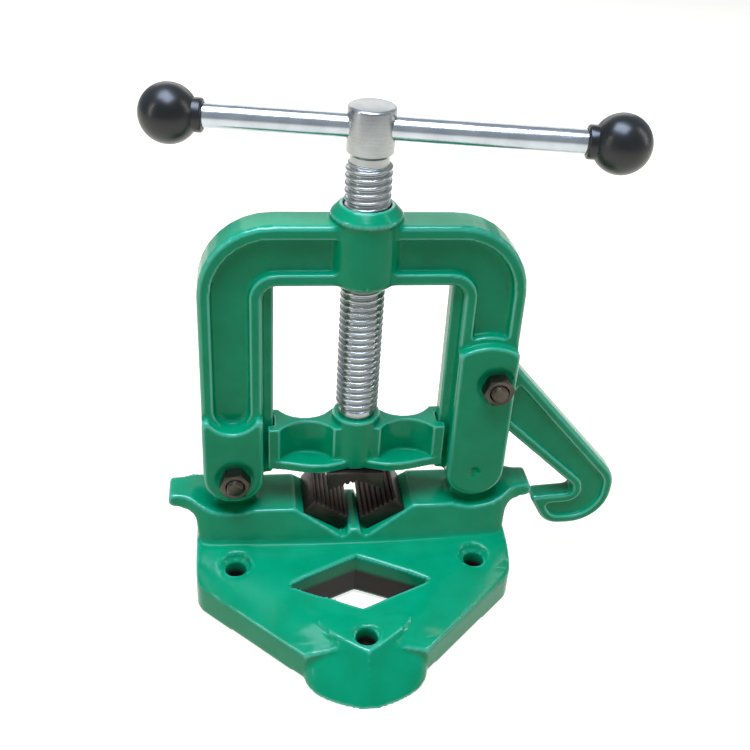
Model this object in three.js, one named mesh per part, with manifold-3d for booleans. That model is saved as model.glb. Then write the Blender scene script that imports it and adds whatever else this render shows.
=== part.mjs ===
// Bench yoke pipe vise: a cast base with a toothed V, a hinged yoke with a swing hook, and a
// screw that drives a guided crosshead down onto the pipe.
// Millimetres, +Z up. X runs across the vise, Y along the pipe, away from the user.
// The origin is the screw axis at the underside of the base.

import * as THREE from "three";
import { mergeVertices } from "three/addons/utils/BufferGeometryUtils.js";
import Module from "manifold-3d";

const wasm = await Module();
wasm.setup();

// DRIVING DIMENSIONS

// Fits
const RUNNING_GAP = 0.3; // between pieces that touch or turn in each other
const SLIDE_GAP = 0.5; // crosshead on its rails, side to side and in depth
const FORK_GAP = 0.8; // cheeks of a leg beside the tongue or the hook between them

// Base casting, plan
const BASE_HALF_WIDTH = 77.5;
const BASE_BACK_Y = 18;
const BASE_CORNER_R = 12;
const WING_ANGLE = 44; // degrees between a wing edge and X
const WING_APEX_Y = -110; // where the two wing edges would meet on the centre line
const BASE_WALL = 6.5;

// Base casting, heights
const RIM_Z = 15; // level top edge of the wings
const CREASE_Z = 25; // where the deck meets the saddle
const CREASE_Y = -16.5;
const CREASE_BOW = 3.5; // the foot of the saddle swells forward by this much in the middle
const DECK_THICKNESS = 6;
const HOLLOW_FRONT_Y = -65;

// Saddle, the cross wall that carries the lower jaws
const LEDGE_Z = 43;
const SADDLE_HALF_DEPTH = 14.3;
const V_HALF_WIDTH = 29.5;
const V_FLOOR_HALF_WIDTH = 6.8;
const V_ANGLE = 32.7; // degrees of each slope from level
const NUB_HALF_WIDTH = 2.6;
const NUB_HEIGHT = 3.6;
const SADDLE_CORE_HALF_DEPTH = 8;

// Noses on both ends of the saddle
const NOSE_HALF_SPAN = 90.5;
const NOSE_HALF_DEPTH = 8;
const NOSE_TOP_Z = 48.5;
const NOSE_THICKNESS = 6.5;
const NOSE_LENGTH = 11; // of its level top
const NOSE_SAG = 0.6; // fall of that top towards the yoke
const NOSE_BLEND = 7; // inside the end of the base, where the saddle starts to narrow
const NOSE_FLAT = 5; // from the tip, where it has narrowed
const SCOOP_DEPTH = 2.2; // dip under each leg end

// Tongues that stand between the cheeks of the legs
const EAR_RADIUS = 9;
const EAR_HALF_THICKNESS = 5.8;
const REST_TONGUE_Z = 57; // the right leg comes to rest on this one
const REST_TONGUE_CORNER_R = 4;

// Deck cut-out and bolt holes
const DIAMOND_HALF_X = 34;
const DIAMOND_HALF_Y = 16.2;
const DIAMOND_Y = -45.6;
const BOLT_HOLE_R = 5;
const SPOTFACE_R = 7.3;
const SIDE_BOLT_X = 58.5;
const SIDE_BOLT_Y = -31;
const SIDE_SPOT_Z = 21.5;
const BOLT_POST_R = 11;
const FRONT_BOLT_Y = -78.2;
const FRONT_SPOTFACE_R = 6.4;
const FRONT_SPOT_DEPTH = 1.2;

// Front boss
const BOSS_TOP_Z = 22;
const BOSS_NOSE_Y = -102.3;
const BOSS_FOOT_HALF_WIDTH = 27;
const BOSS_TOP_HALF_WIDTH = 22;
const BOSS_SHOULDER_Y = -84; // widest place of the foot
const BOSS_TOP_SHOULDER_Y = -69;
const BOSS_NOSE_DRAFT = 14.6;
const BOSS_BACK_Y = -60; // back of the level top
const BOSS_RAMP = 2; // run over rise of the ramp that meets the deck behind it
const BOSS_FOOT_FULLNESS = 0.4; // how round the nose is in plan, at the foot
const BOSS_TOP_FULLNESS = 0.1; // nearer to a V at the top
const JOG = 0.8; // step in the outline where a wing edge meets the boss

// Yoke casting
const LEG_OUTER_X = 73;
const LEG_INNER_X = 44.5;
const ARCH_TOP_Z = 190.5;
const ARCH_UNDER_Z = 162;
const LEG_END_Z = 47.5;
const ARCH_OUTER_R = 33;
const ARCH_INNER_R = 6;
const YOKE_HALF_DEPTH = 9;
const RIM_WIDTH = 6;
const PANEL_DEPTH = 4.2; // depth of the recess between the rims
const PANEL_CORNER_R = 2;
const PAD_HALF_DEPTH = 13.8;
const LEFT_PANEL_END_Z = 88.5;
const RIGHT_PAD_TOP_Z = 136;
const RIGHT_PAD_ARC_R = 25;
const SLOT_INNER_X = 48.6; // inner wall of the fork slots
const EAR_ROOM = 6; // slot left above the hinge ear
const HOOK_SLOT_ROOM = 3; // slot left round the eye of the hook
const HOOK_SLOT_SWING_DEG = 7; // the floor of that slot leaves the hook this much room to swing in
const RAIL_X = 39.7;
const RAIL_HALF_DEPTH = 4;
const RAIL_END_Z = 58;
const YOKE_BOSS_R = 15;
const COLLAR_FOOT_R = 16;
const COLLAR_RISE = 3; // its foot above the top of the arch
const COLLAR_TOP_R = 11.8;
const COLLAR_HEIGHT = 4.5;
const CASTING_EDGE = 1.2; // edge rounding of extruded castings
const DIMPLE_R = 5;
const DIMPLE_DEPTH = 1.4;

// Pivots
const YOKE_PIVOT_X = 58; // left of the screw, mirrored by the rest tongue
const YOKE_PIVOT_Z = 61.75;
const HOOK_PIVOT_X = 63.5;
const HOOK_PIVOT_Z = 112;
const PIVOT_BOLT_R = 4;
const HEX_ACROSS_FLATS = 13;
const BOLT_HEAD_HEIGHT = 5.3;
const NUT_HEIGHT = 6.5;
const BOLT_END = 2; // shank left proud of the nut
const NUT_SEAT_R = 9.2;
const NUT_SEAT_DEPTH = 0.9;

// Hook
const HOOK_HALF_THICKNESS = 5.6;
const HOOK_EYE_R = 12;
const HOOK_REACH_X = 66.5; // from the pivot to the outer edge of the heel
const HOOK_DROP = 97; // from the pivot to the underside of the finger
const HOOK_HEEL_WIDTH = 22; // from the throat to the outer edge of the heel
const HOOK_SHOULDER_DROP = 67; // from the pivot down to where the outer edge of the arm ends
const HOOK_THROAT_DROP = 70.8; // from the pivot down to where its inner edge ends
const HOOK_EYE_DROP = 10.4; // from the pivot down to the inner edge beside the eye
const HOOK_FINGER_TOP = 76; // from the pivot down to the top of the finger
const HOOK_FINGER_LENGTH = 22.1; // from the throat to the tip
const HOOK_TIP_SLANT = 9; // the underside of the finger stops this much short of the tip
const HOOK_TIP_RISE = 2;
const HOOK_RIM = 5;
const HOOK_PANEL_DEPTH = 2.4;
const HOOK_OPEN_DEG = 4.2; // swung out by this much, so that the finger clears the nose

// Screw
const SCREW_R = 10;
const SCREW_HEAD_RISE = 49.5; // top of the head above the top of the arch
const SCREW_HEAD_HEIGHT = 20.5;
const NECK_R = 8.3;
const NECK_HEIGHT = 3;
const SHOULDER_R = 8.6;
const SHOULDER_HEIGHT = 3.3;
const JOURNAL_R = 7;
const SCREW_CHAMFER = 1;
const THREAD_PITCH = 3.3;
const THREAD_DEPTH = 1.6;

// Crosshead
const CROSSHEAD_BOTTOM_Z = 64;
const CROSSHEAD_TOP_Z = 86.5;
const CROSSHEAD_HALF_LENGTH = 42.4;
const CROSSHEAD_HALF_DEPTH = 9;
const CROSSHEAD_COLLAR_R = 11.4;
const CROSSHEAD_COLLAR_TOP_Z = 91;
const POCKET_X = 24;
const POCKET_R = 14.9;
const POCKET_WEB = 3.4; // wall left between a front and a back pocket
const FLANGE_THICKNESS = 4.7;
const FLANGE_LOBE_Y = 13.6;
const FLANGE_LOBE_X = 17;
const FLANGE_WAIST_Y = 10;
const RETAINER_R = 9.4;
const RETAINER_THICKNESS = 2.5;
const RETAINER_POCKET_DEPTH = 6;
const RETAINER_BOLT_R = 3;
const RETAINER_HEAD_R = 5;
const RETAINER_HEAD_HEIGHT = 2.4;
const RETAINER_BOLT_LENGTH = 14;

// Jaws
const JAW_HALF_LENGTH = 14.1;
const JAW_THICKNESS = 9.2;
const JAW_SLOPE_LENGTH = 22;
const JAW_TEETH = 8;
const TOOTH_DEPTH = 1.3;
const UPPER_JAW_HALF_WIDTH = 13.4;
const UPPER_JAW_HEIGHT = 9.8;
const UPPER_JAW_V_DEPTH = 4.6;
const UPPER_JAW_TEETH = 10;
const JAW_PIN_R = 3;
const JAW_PIN_LENGTH = 10;
const UPPER_PIN_X = 10.2;
const UPPER_PIN_Y = 6;

// Handle
const BAR_R = 5;
const BAR_TURN_DEG = -9.4; // how far the bar is turned about the screw
const BAR_BELOW_TOP = 9.1; // bar axis below the top of the head
const KNOB_SPACING = 184.6; // between ball centres
const BAR_SHIFT = 9.4; // the bar has slid this far to the right
const KNOB_R = 12.5;
const KNOB_NECK_R = 7;
const KNOB_NECK = 3.2;
const KNOB_BLIND = 3; // ball left beyond the end of the bar, past its centre

// Facets
const ARC_STEPS = 4; // half the steps in a rounded corner
const THREAD_STEPS = 10; // steps in one turn of the thread

// SOLIDS FROM THREE.JS GEOMETRY

// A closed geometry as a solid that can be joined and cut.
function solid(geometry) {
  const bare = geometry.index ? geometry.toNonIndexed() : geometry.clone();
  bare.deleteAttribute("normal");
  bare.deleteAttribute("uv");
  const merged = mergeVertices(bare, 1e-4);
  const triangles = [];
  const index = merged.index.array;
  for (let i = 0; i < index.length; i += 3) {
    const [a, b, c] = [index[i], index[i + 1], index[i + 2]];
    if (a !== b && b !== c && a !== c) triangles.push(a, b, c);
  }
  return new wasm.Manifold(
    new wasm.Mesh({
      numProp: 3,
      vertProperties: merged.attributes.position.array,
      triVerts: new Uint32Array(triangles),
    }),
  );
}

function join(...solids) {
  return solids.reduce((whole, next) => whole.add(next));
}

function cut(body, ...tools) {
  return tools.reduce((whole, tool) => whole.subtract(tool), body);
}

// An extrusion of a shape with its edges rounded inside its own outline.
function extrusion(shape, length, edge, segments) {
  const options = { depth: length, bevelEnabled: false, curveSegments: segments };
  if (edge > 0) {
    options.bevelEnabled = true;
    options.depth = length - 2 * edge;
    options.bevelThickness = edge;
    options.bevelSize = edge;
    options.bevelOffset = -edge;
    options.bevelSegments = 1;
  }
  const geometry = new THREE.ExtrudeGeometry(shape, options);
  return geometry.translate(0, 0, edge > 0 ? edge : 0);
}

// A plan shape (x, y) raised from z0 to z1.
function prismZ(shape, z0, z1, edge = 0, segments = ARC_STEPS) {
  return solid(extrusion(shape, z1 - z0, edge, segments).translate(0, 0, z0));
}

// A front-view shape (x, z) carried from y0 to y1.
function prismY(shape, y0, y1, edge = 0, segments = ARC_STEPS) {
  const geometry = extrusion(shape, y1 - y0, edge, segments);
  return solid(geometry.rotateX(Math.PI / 2).translate(0, y1, 0));
}

function box(x0, x1, y0, y1, z0, z1) {
  const geometry = new THREE.BoxGeometry(x1 - x0, y1 - y0, z1 - z0);
  return solid(geometry.translate((x0 + x1) / 2, (y0 + y1) / 2, (z0 + z1) / 2));
}

// A round rod between two points.
function rod(radius, from, to, segments = 24) {
  const a = new THREE.Vector3(...from);
  const b = new THREE.Vector3(...to);
  const along = b.clone().sub(a);
  const geometry = new THREE.CylinderGeometry(radius, radius, along.length(), segments);
  const turn = new THREE.Quaternion().setFromUnitVectors(
    new THREE.Vector3(0, 1, 0),
    along.clone().normalize(),
  );
  geometry.applyQuaternion(turn);
  const middle = a.add(b).multiplyScalar(0.5);
  return solid(geometry.translate(middle.x, middle.y, middle.z));
}

// A profile of [radius, height] pairs turned about the Z axis.
function turned(profile, segments = 32) {
  const points = profile.map(([r, z]) => new THREE.Vector2(r, z));
  return solid(new THREE.LatheGeometry(points, segments).rotateX(Math.PI / 2));
}

// A body through rings of equal length, closed by a cap at each end.
function loft(rings) {
  const count = rings[0].length;
  const corner = (ring, k) => rings[ring][(k + count) % count];
  const positions = [];
  const face = (...points) => points.forEach((p) => positions.push(p.x, p.y, p.z));
  for (let ring = 0; ring + 1 < rings.length; ring += 1) {
    for (let k = 0; k < count; k += 1) {
      const [a, b] = [corner(ring, k), corner(ring, k + 1)];
      const [c, d] = [corner(ring + 1, k + 1), corner(ring + 1, k)];
      face(a, b, c);
      face(a, c, d);
    }
  }
  const cap = (ring, flip) => {
    const flat = flatten(ring);
    for (const [i, j, k] of THREE.ShapeUtils.triangulateShape(flat, [])) {
      if (flip) face(ring[i], ring[k], ring[j]);
      else face(ring[i], ring[j], ring[k]);
    }
  };
  cap(rings[0], true);
  cap(rings[rings.length - 1], false);
  const geometry = new THREE.BufferGeometry();
  geometry.setAttribute("position", new THREE.Float32BufferAttribute(positions, 3));
  return solid(geometry);
}

// A planar ring in two dimensions, seen from the side that it runs anticlockwise on.
function flatten(ring) {
  const normal = new THREE.Vector3();
  ring.forEach((p, k) => {
    const q = ring[(k + 1) % ring.length];
    normal.add(new THREE.Vector3().crossVectors(p, q));
  });
  normal.normalize();
  const u = ring[1].clone().sub(ring[0]).normalize();
  const v = new THREE.Vector3().crossVectors(normal, u);
  return ring.map((p) => new THREE.Vector2(p.dot(u), p.dot(v)));
}

function polygon(points) {
  return new THREE.Shape(points.map(([x, y]) => new THREE.Vector2(x, y)));
}

// The corners of an outline moved inwards by a distance, for the panels between rims.
function inset(corners, distance) {
  const points = corners.map(([x, y]) => new THREE.Vector2(x, y));
  const inward = THREE.ShapeUtils.isClockWise(points) ? -1 : 1;
  const count = points.length;
  return points.map((p, k) => {
    const d0 = p.clone().sub(points[(k + count - 1) % count]).normalize();
    const d1 = points[(k + 1) % count].clone().sub(p).normalize();
    const n0 = new THREE.Vector2(-d0.y, d0.x).multiplyScalar(inward);
    const n1 = new THREE.Vector2(-d1.y, d1.x).multiplyScalar(inward);
    const scale = distance / (1 + n0.dot(n1));
    const moved = p.clone().addScaledVector(n0, scale).addScaledVector(n1, scale);
    const outside = d0.cross(d1) * inward > 0;
    const tight = Math.max(PANEL_CORNER_R, corners[k][2] - distance);
    const radius = outside ? tight : corners[k][2] + distance;
    return [moved.x, moved.y, radius];
  });
}

// A closed polygon with each corner rounded by its own radius: [x, y, radius].
function rounded(corners) {
  const shape = new THREE.Shape();
  const count = corners.length;
  const point = ([x, y]) => new THREE.Vector2(x, y);
  corners.forEach((corner, k) => {
    const here = point(corner);
    const back = point(corners[(k + count - 1) % count]).sub(here);
    const ahead = point(corners[(k + 1) % count]).sub(here);
    const half = Math.acos(back.clone().normalize().dot(ahead.clone().normalize())) / 2;
    const reach = corner[2] / Math.tan(half);
    const start = here.clone().addScaledVector(back.normalize(), reach);
    const end = here.clone().addScaledVector(ahead.normalize(), reach);
    if (k === 0) shape.moveTo(start.x, start.y);
    else shape.lineTo(start.x, start.y);
    if (corner[2] > 0) roundCorner(shape, start, end, here, corner[2]);
  });
  shape.closePath();
  return shape;
}

// The arc of one rounded corner, from its start to its end tangent point.
function roundCorner(shape, start, end, corner, radius) {
  const middle = start.clone().add(end).multiplyScalar(0.5);
  const inward = middle.clone().sub(corner).normalize();
  const half = Math.asin(start.distanceTo(end) / 2 / radius);
  const centre = middle.clone().addScaledVector(inward, radius * Math.cos(half));
  const from = Math.atan2(start.y - centre.y, start.x - centre.x);
  const to = Math.atan2(end.y - centre.y, end.x - centre.x);
  let sweep = to - from;
  while (sweep > Math.PI) sweep -= 2 * Math.PI;
  while (sweep < -Math.PI) sweep += 2 * Math.PI;
  shape.absarc(centre.x, centre.y, radius, from, to, sweep < 0);
}

const radians = THREE.MathUtils.degToRad;
const LEFT = -1;
const RIGHT = 1;
const FAR = 400; // longer than anything it cuts

// BASE CASTING

const wingSlope = Math.tan(radians(WING_ANGLE));

// Front edge of the plan at a distance from the centre line.
function wingY(x) {
  return WING_APEX_Y + wingSlope * Math.abs(x);
}

// Foot of the saddle, which swells forward in the middle.
function creaseY(x) {
  const share = Math.min(1, Math.abs(x) / BASE_HALF_WIDTH);
  return CREASE_Y - CREASE_BOW * (1 - share * share);
}

// The deck leaves the crease level and falls ever more steeply to the level rim, lowered by `drop`.
function deckLoft(drop) {
  const onDeck = (x, share) => [
    THREE.MathUtils.lerp(creaseY(x), wingY(x), share),
    THREE.MathUtils.lerp(CREASE_Z, RIM_Z, share * share) - drop,
  ];
  const stations = [-1, -0.86, -0.7, -0.5, -0.25, 0, 0.25, 0.5, 0.7, 0.86, 1];
  return loft(
    stations.map((share) => {
      const x = share * BASE_HALF_WIDTH;
      return [
        [BASE_BACK_Y, 0],
        [BASE_BACK_Y, CREASE_Z - drop],
        onDeck(x, 0),
        onDeck(x, 0.4),
        onDeck(x, 0.7),
        onDeck(x, 1),
        [wingY(x), 0],
      ].map(([y, z]) => new THREE.Vector3(x, y, z));
    }),
  );
}

function basePlan(wall) {
  const half = BASE_HALF_WIDTH - wall;
  const apex = WING_APEX_Y + wall / Math.cos(radians(WING_ANGLE));
  const corner = apex + wingSlope * half;
  const jogX = BOSS_FOOT_HALF_WIDTH + JOG;
  const jogY = apex + wingSlope * jogX;
  const radius = Math.max(2, BASE_CORNER_R - wall);
  return rounded([
    [half, BASE_BACK_Y - wall, 2],
    [-half, BASE_BACK_Y - wall, 2],
    [-half, corner, radius],
    [-jogX, jogY, 1],
    [jogX, jogY, 1],
    [half, corner, radius],
  ]);
}

// One ring of the front boss: a nose in front, blunt by its fullness, and a round back.
function bossRing(half, shoulder, nose, back, z, fullness) {
  const ring = [];
  const front = new THREE.CubicBezierCurve(
    new THREE.Vector2(half, shoulder),
    new THREE.Vector2(half, shoulder + (nose - shoulder) * fullness),
    new THREE.Vector2(half * fullness, nose),
    new THREE.Vector2(0, nose),
  );
  const side = front.getPoints(7);
  side.forEach((p) => ring.push(new THREE.Vector3(p.x, p.y, z)));
  side.slice(0, -1).reverse().forEach((p) => ring.push(new THREE.Vector3(-p.x, p.y, z)));
  const turns = 10;
  for (let k = 1; k < turns; k += 1) {
    const angle = Math.PI - (Math.PI * k) / turns;
    const y = shoulder + (back - shoulder) * Math.sin(angle);
    ring.push(new THREE.Vector3(half * Math.cos(angle), y, z));
  }
  return ring.reverse();
}

function frontBoss() {
  const footBack = BOSS_BACK_Y + BOSS_RAMP * BOSS_TOP_Z;
  return loft([
    bossRing(
      BOSS_FOOT_HALF_WIDTH,
      BOSS_SHOULDER_Y,
      BOSS_NOSE_Y,
      footBack,
      0,
      BOSS_FOOT_FULLNESS,
    ),
    bossRing(
      BOSS_TOP_HALF_WIDTH,
      BOSS_TOP_SHOULDER_Y,
      BOSS_NOSE_Y + BOSS_NOSE_DRAFT,
      BOSS_BACK_Y,
      BOSS_TOP_Z,
      BOSS_TOP_FULLNESS,
    ),
  ]);
}

const vSlope = Math.tan(radians(V_ANGLE));
const V_FLOOR_Z = LEDGE_Z - vSlope * (V_HALF_WIDTH - V_FLOOR_HALF_WIDTH);

// Front view of the saddle: noses, dips under the leg ends, ledges and the V for the jaws.
function saddleFront() {
  const noseUnder = NOSE_TOP_Z - NOSE_THICKNESS;
  const side = [
    [V_FLOOR_HALF_WIDTH, V_FLOOR_Z, 0.5],
    [V_HALF_WIDTH, LEDGE_Z, 2.5],
    [YOKE_PIVOT_X - EAR_RADIUS, LEDGE_Z, 6],
    [YOKE_PIVOT_X, LEDGE_Z - SCOOP_DEPTH, 14],
    [YOKE_PIVOT_X + EAR_RADIUS, LEDGE_Z - SCOOP_DEPTH * 0.4, 9],
    [NOSE_HALF_SPAN - NOSE_LENGTH, NOSE_TOP_Z - NOSE_SAG, 8],
    [NOSE_HALF_SPAN, NOSE_TOP_Z, 2.8],
    [NOSE_HALF_SPAN, noseUnder, 2.4],
    [BASE_HALF_WIDTH, noseUnder - 2.5, 5],
    [BASE_HALF_WIDTH - 3, 0, 0],
  ];
  const nub = [
    [NUB_HALF_WIDTH, V_FLOOR_Z + NUB_HEIGHT, 1],
    [NUB_HALF_WIDTH + 1.4, V_FLOOR_Z, 0.5],
  ];
  const right = nub.concat(side);
  const left = right.map(([x, z, r]) => [-x, z, r]).reverse();
  return rounded(left.concat(right));
}

// Plan depth of the saddle along X: full under the yoke, drawn in at the noses.
function saddleLoft() {
  const drawFrom = BASE_HALF_WIDTH - NOSE_BLEND;
  const drawTo = NOSE_HALF_SPAN - NOSE_FLAT;
  const drawnIn = (x) => {
    const share = THREE.MathUtils.smoothstep(Math.abs(x), drawFrom, drawTo);
    return THREE.MathUtils.lerp(SADDLE_HALF_DEPTH, NOSE_HALF_DEPTH, share);
  };
  const xs = [0, 0.3, 0.6, 0.85].map((share) => share * drawFrom);
  for (let k = 0; k <= 4; k += 1) xs.push(THREE.MathUtils.lerp(drawFrom, drawTo, k / 4));
  xs.push(NOSE_HALF_SPAN + 1);
  const stations = xs.slice(1).reverse().map((x) => -x).concat(xs);
  const rise = NOSE_TOP_Z + 4;
  return loft(
    stations.map((x) => {
      const half = drawnIn(x);
      const foot = Math.min(-half, creaseY(x) * (half / SADDLE_HALF_DEPTH));
      const lean = (-half - foot) / (LEDGE_Z - CREASE_Z);
      const top = -half + lean * (rise - LEDGE_Z);
      return [
        [half, 0],
        [half, rise],
        [top, rise],
        [foot, CREASE_Z],
        [foot, 0],
      ].map(([y, z]) => new THREE.Vector3(x, y, z));
    }),
  );
}

// An upright tongue between the cheeks of a leg.
function tongue(side, topZ, cornerR) {
  const x = side * YOKE_PIVOT_X;
  const shape = rounded([
    [x - EAR_RADIUS, V_FLOOR_Z, 0],
    [x + EAR_RADIUS, V_FLOOR_Z, 0],
    [x + EAR_RADIUS, topZ, cornerR],
    [x - EAR_RADIUS, topZ, cornerR],
  ]);
  return prismY(shape, -EAR_HALF_THICKNESS, EAR_HALF_THICKNESS);
}

// Core under one half of the saddle, leaving a rib on the centre line.
function saddleCore(side) {
  const wall = BASE_WALL;
  const inner = V_FLOOR_HALF_WIDTH + 1;
  const outer = BASE_HALF_WIDTH - wall - 3;
  const shape = polygon([
    [side * inner, -1],
    [side * outer, -1],
    [side * outer, LEDGE_Z - SCOOP_DEPTH - wall],
    [side * V_HALF_WIDTH, LEDGE_Z - SCOOP_DEPTH - wall],
    [side * inner, V_FLOOR_Z - wall],
  ]);
  return prismY(shape, -SADDLE_CORE_HALF_DEPTH, SADDLE_CORE_HALF_DEPTH);
}

// Hollow under the deck, with posts left round the bolt holes.
function deckCore() {
  const back = CREASE_Y - CREASE_BOW - BASE_WALL;
  const hollow = deckLoft(DECK_THICKNESS)
    .intersect(prismZ(basePlan(BASE_WALL), -1, CREASE_Z))
    .intersect(box(-FAR, FAR, HOLLOW_FRONT_Y, back, -1, FAR));
  const below = prismZ(basePlan(BASE_WALL), -1, 1).intersect(
    box(-FAR, FAR, HOLLOW_FRONT_Y, back, -1, 1),
  );
  return cut(join(hollow, below), ...[LEFT, RIGHT].map((side) => boltPost(side)));
}

function boltPost(side) {
  const [x, y] = [side * SIDE_BOLT_X, SIDE_BOLT_Y];
  return rod(BOLT_POST_R, [x, y, -2], [x, y, CREASE_Z]);
}

function boltHole(x, y, seatR, seatZ) {
  const hole = rod(BOLT_HOLE_R, [x, y, -1], [x, y, FAR]);
  const seat = rod(seatR, [x, y, seatZ], [x, y, FAR]);
  return join(hole, seat);
}

function baseCasting() {
  const shell = deckLoft(0).intersect(prismZ(basePlan(0), -1, CREASE_Z + 1));
  const saddle = saddleLoft().intersect(prismY(saddleFront(), -FAR, FAR));
  const whole = join(
    shell,
    saddle,
    frontBoss(),
    tongue(LEFT, YOKE_PIVOT_Z + EAR_RADIUS, EAR_RADIUS * 0.98),
    tongue(RIGHT, REST_TONGUE_Z, REST_TONGUE_CORNER_R),
  );
  const diamond = prismZ(
    polygon([
      [DIAMOND_HALF_X, DIAMOND_Y],
      [0, DIAMOND_Y + DIAMOND_HALF_Y],
      [-DIAMOND_HALF_X, DIAMOND_Y],
      [0, DIAMOND_Y - DIAMOND_HALF_Y],
    ]),
    -1,
    FAR,
  );
  const pivot = PIVOT_BOLT_R + RUNNING_GAP;
  return cut(
    whole,
    deckCore(),
    saddleCore(LEFT),
    saddleCore(RIGHT),
    diamond,
    boltHole(SIDE_BOLT_X, SIDE_BOLT_Y, SPOTFACE_R, SIDE_SPOT_Z),
    boltHole(-SIDE_BOLT_X, SIDE_BOLT_Y, SPOTFACE_R, SIDE_SPOT_Z),
    boltHole(0, FRONT_BOLT_Y, FRONT_SPOTFACE_R, BOSS_TOP_Z - FRONT_SPOT_DEPTH),
    rod(pivot, [-YOKE_PIVOT_X, -FAR, YOKE_PIVOT_Z], [-YOKE_PIVOT_X, FAR, YOKE_PIVOT_Z]),
    jawPin(LEFT, JAW_PIN_R + RUNNING_GAP, RUNNING_GAP),
    jawPin(RIGHT, JAW_PIN_R + RUNNING_GAP, RUNNING_GAP),
  );
}

// LOWER JAWS, on the slopes of the V

// Along the right-hand slope from the floor of the V, and square to it.
const slopeAlong = new THREE.Vector2(Math.cos(radians(V_ANGLE)), Math.sin(radians(V_ANGLE)));
const slopeUp = new THREE.Vector2(-slopeAlong.y, slopeAlong.x);

function onSlope(along, up) {
  const start = new THREE.Vector2(V_FLOOR_HALF_WIDTH, V_FLOOR_Z);
  return start.addScaledVector(slopeAlong, along).addScaledVector(slopeUp, up);
}

// Front view of a jaw: a flat back and a row of teeth that run along the pipe.
function lowerJaw(side) {
  const seat = RUNNING_GAP;
  const pitch = JAW_SLOPE_LENGTH / JAW_TEETH;
  const outline = [onSlope(seat, seat), onSlope(JAW_SLOPE_LENGTH, seat)];
  for (let k = JAW_TEETH; k > 0; k -= 1) {
    outline.push(onSlope(seat + (k - 0.15) * (pitch - seat / JAW_TEETH), JAW_THICKNESS));
    outline.push(onSlope(seat + (k - 0.6) * (pitch - seat / JAW_TEETH), JAW_THICKNESS));
    outline.push(
      onSlope(seat + (k - 0.9) * (pitch - seat / JAW_TEETH), JAW_THICKNESS - TOOTH_DEPTH),
    );
  }
  const points = outline.map((p) => new THREE.Vector2(side * p.x, p.y));
  const jaw = prismY(new THREE.Shape(points), -JAW_HALF_LENGTH, JAW_HALF_LENGTH);
  return cut(jaw, jawPin(side, JAW_PIN_R + RUNNING_GAP, RUNNING_GAP));
}

// A dowel square to the slope, half in the casting and half in the jaw.
function jawPin(side, radius, extra) {
  const reach = JAW_PIN_LENGTH / 2 + extra;
  const low = onSlope(JAW_SLOPE_LENGTH / 2, RUNNING_GAP / 2 - reach);
  const high = onSlope(JAW_SLOPE_LENGTH / 2, RUNNING_GAP / 2 + reach);
  return rod(radius, [side * low.x, 0, low.y], [side * high.x, 0, high.y], 16);
}

// YOKE CASTING

const LEG_MIDDLE_X = (LEG_OUTER_X + LEG_INNER_X) / 2;
const LEG_END_R = (LEG_OUTER_X - LEG_INNER_X) / 2;

function yokeOutline() {
  const end = LEG_END_R * 0.98;
  return [
    [LEG_OUTER_X, LEG_END_Z, end],
    [LEG_OUTER_X, ARCH_TOP_Z, ARCH_OUTER_R],
    [-LEG_OUTER_X, ARCH_TOP_Z, ARCH_OUTER_R],
    [-LEG_OUTER_X, LEG_END_Z, end],
    [-LEG_INNER_X, LEG_END_Z, end],
    [-LEG_INNER_X, ARCH_UNDER_Z, ARCH_INNER_R],
    [LEG_INNER_X, ARCH_UNDER_Z, ARCH_INNER_R],
    [LEG_INNER_X, LEG_END_Z, end],
  ];
}

// The thick lower end of a leg, up to a level.
function legPad(side, topZ) {
  const end = LEG_END_R * 0.98;
  const [a, b] = [side * LEG_INNER_X, side * LEG_OUTER_X];
  const shape = rounded([
    [Math.max(a, b), LEG_END_Z, end],
    [Math.max(a, b), topZ, 2.5],
    [Math.min(a, b), topZ, 2.5],
    [Math.min(a, b), LEG_END_Z, end],
  ]);
  return prismY(shape, -PAD_HALF_DEPTH, PAD_HALF_DEPTH, CASTING_EDGE);
}

// A round bar across the yoke, front to back.
function across(radius, x, z, y0 = -FAR, y1 = FAR, segments = 20) {
  return rod(radius, [x, y0, z], [x, y1, z], segments);
}

// The thick end of the left leg stops under the round end of the recess, and that of the
// right leg under an arch.
function legPads() {
  const leftTop = LEFT_PANEL_END_Z + LEG_END_R - RIM_WIDTH - 2;
  const hollow = across(LEG_END_R - 1.5, -LEG_MIDDLE_X, leftTop + RIM_WIDTH);
  const left = cut(legPad(LEFT, leftTop), hollow);
  const arch = across(
    RIGHT_PAD_ARC_R,
    LEG_MIDDLE_X,
    RIGHT_PAD_TOP_Z - RIGHT_PAD_ARC_R - 3,
    -FAR,
    FAR,
    40,
  );
  const below = box(0, FAR, -FAR, FAR, 0, RIGHT_PAD_TOP_Z - RIGHT_PAD_ARC_R);
  const right = legPad(RIGHT, RIGHT_PAD_TOP_Z).intersect(join(arch, below));
  return join(left, right);
}

// The recess between the rims, on one face.
function panel(face) {
  const shape = rounded(inset(yokeOutline(), RIM_WIDTH));
  const deep = YOKE_HALF_DEPTH - PANEL_DEPTH;
  const slab = face < 0 ? prismY(shape, -FAR, -deep) : prismY(shape, deep, FAR);
  const round = LEG_END_R - RIM_WIDTH;
  const endZ = LEFT_PANEL_END_Z + round;
  const leftEnd = box(-FAR, -RAIL_X, -FAR, FAR, 0, endZ);
  const rightTop = RIGHT_PAD_TOP_Z - RIGHT_PAD_ARC_R;
  const rightEnd = join(
    box(RAIL_X, FAR, -FAR, FAR, 0, rightTop),
    across(RIGHT_PAD_ARC_R, LEG_MIDDLE_X, rightTop, -FAR, FAR, 40),
  );
  const roundEnd = across(round, -LEG_MIDDLE_X, endZ).intersect(slab);
  return join(cut(slab, leftEnd, rightEnd), roundEnd);
}

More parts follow.
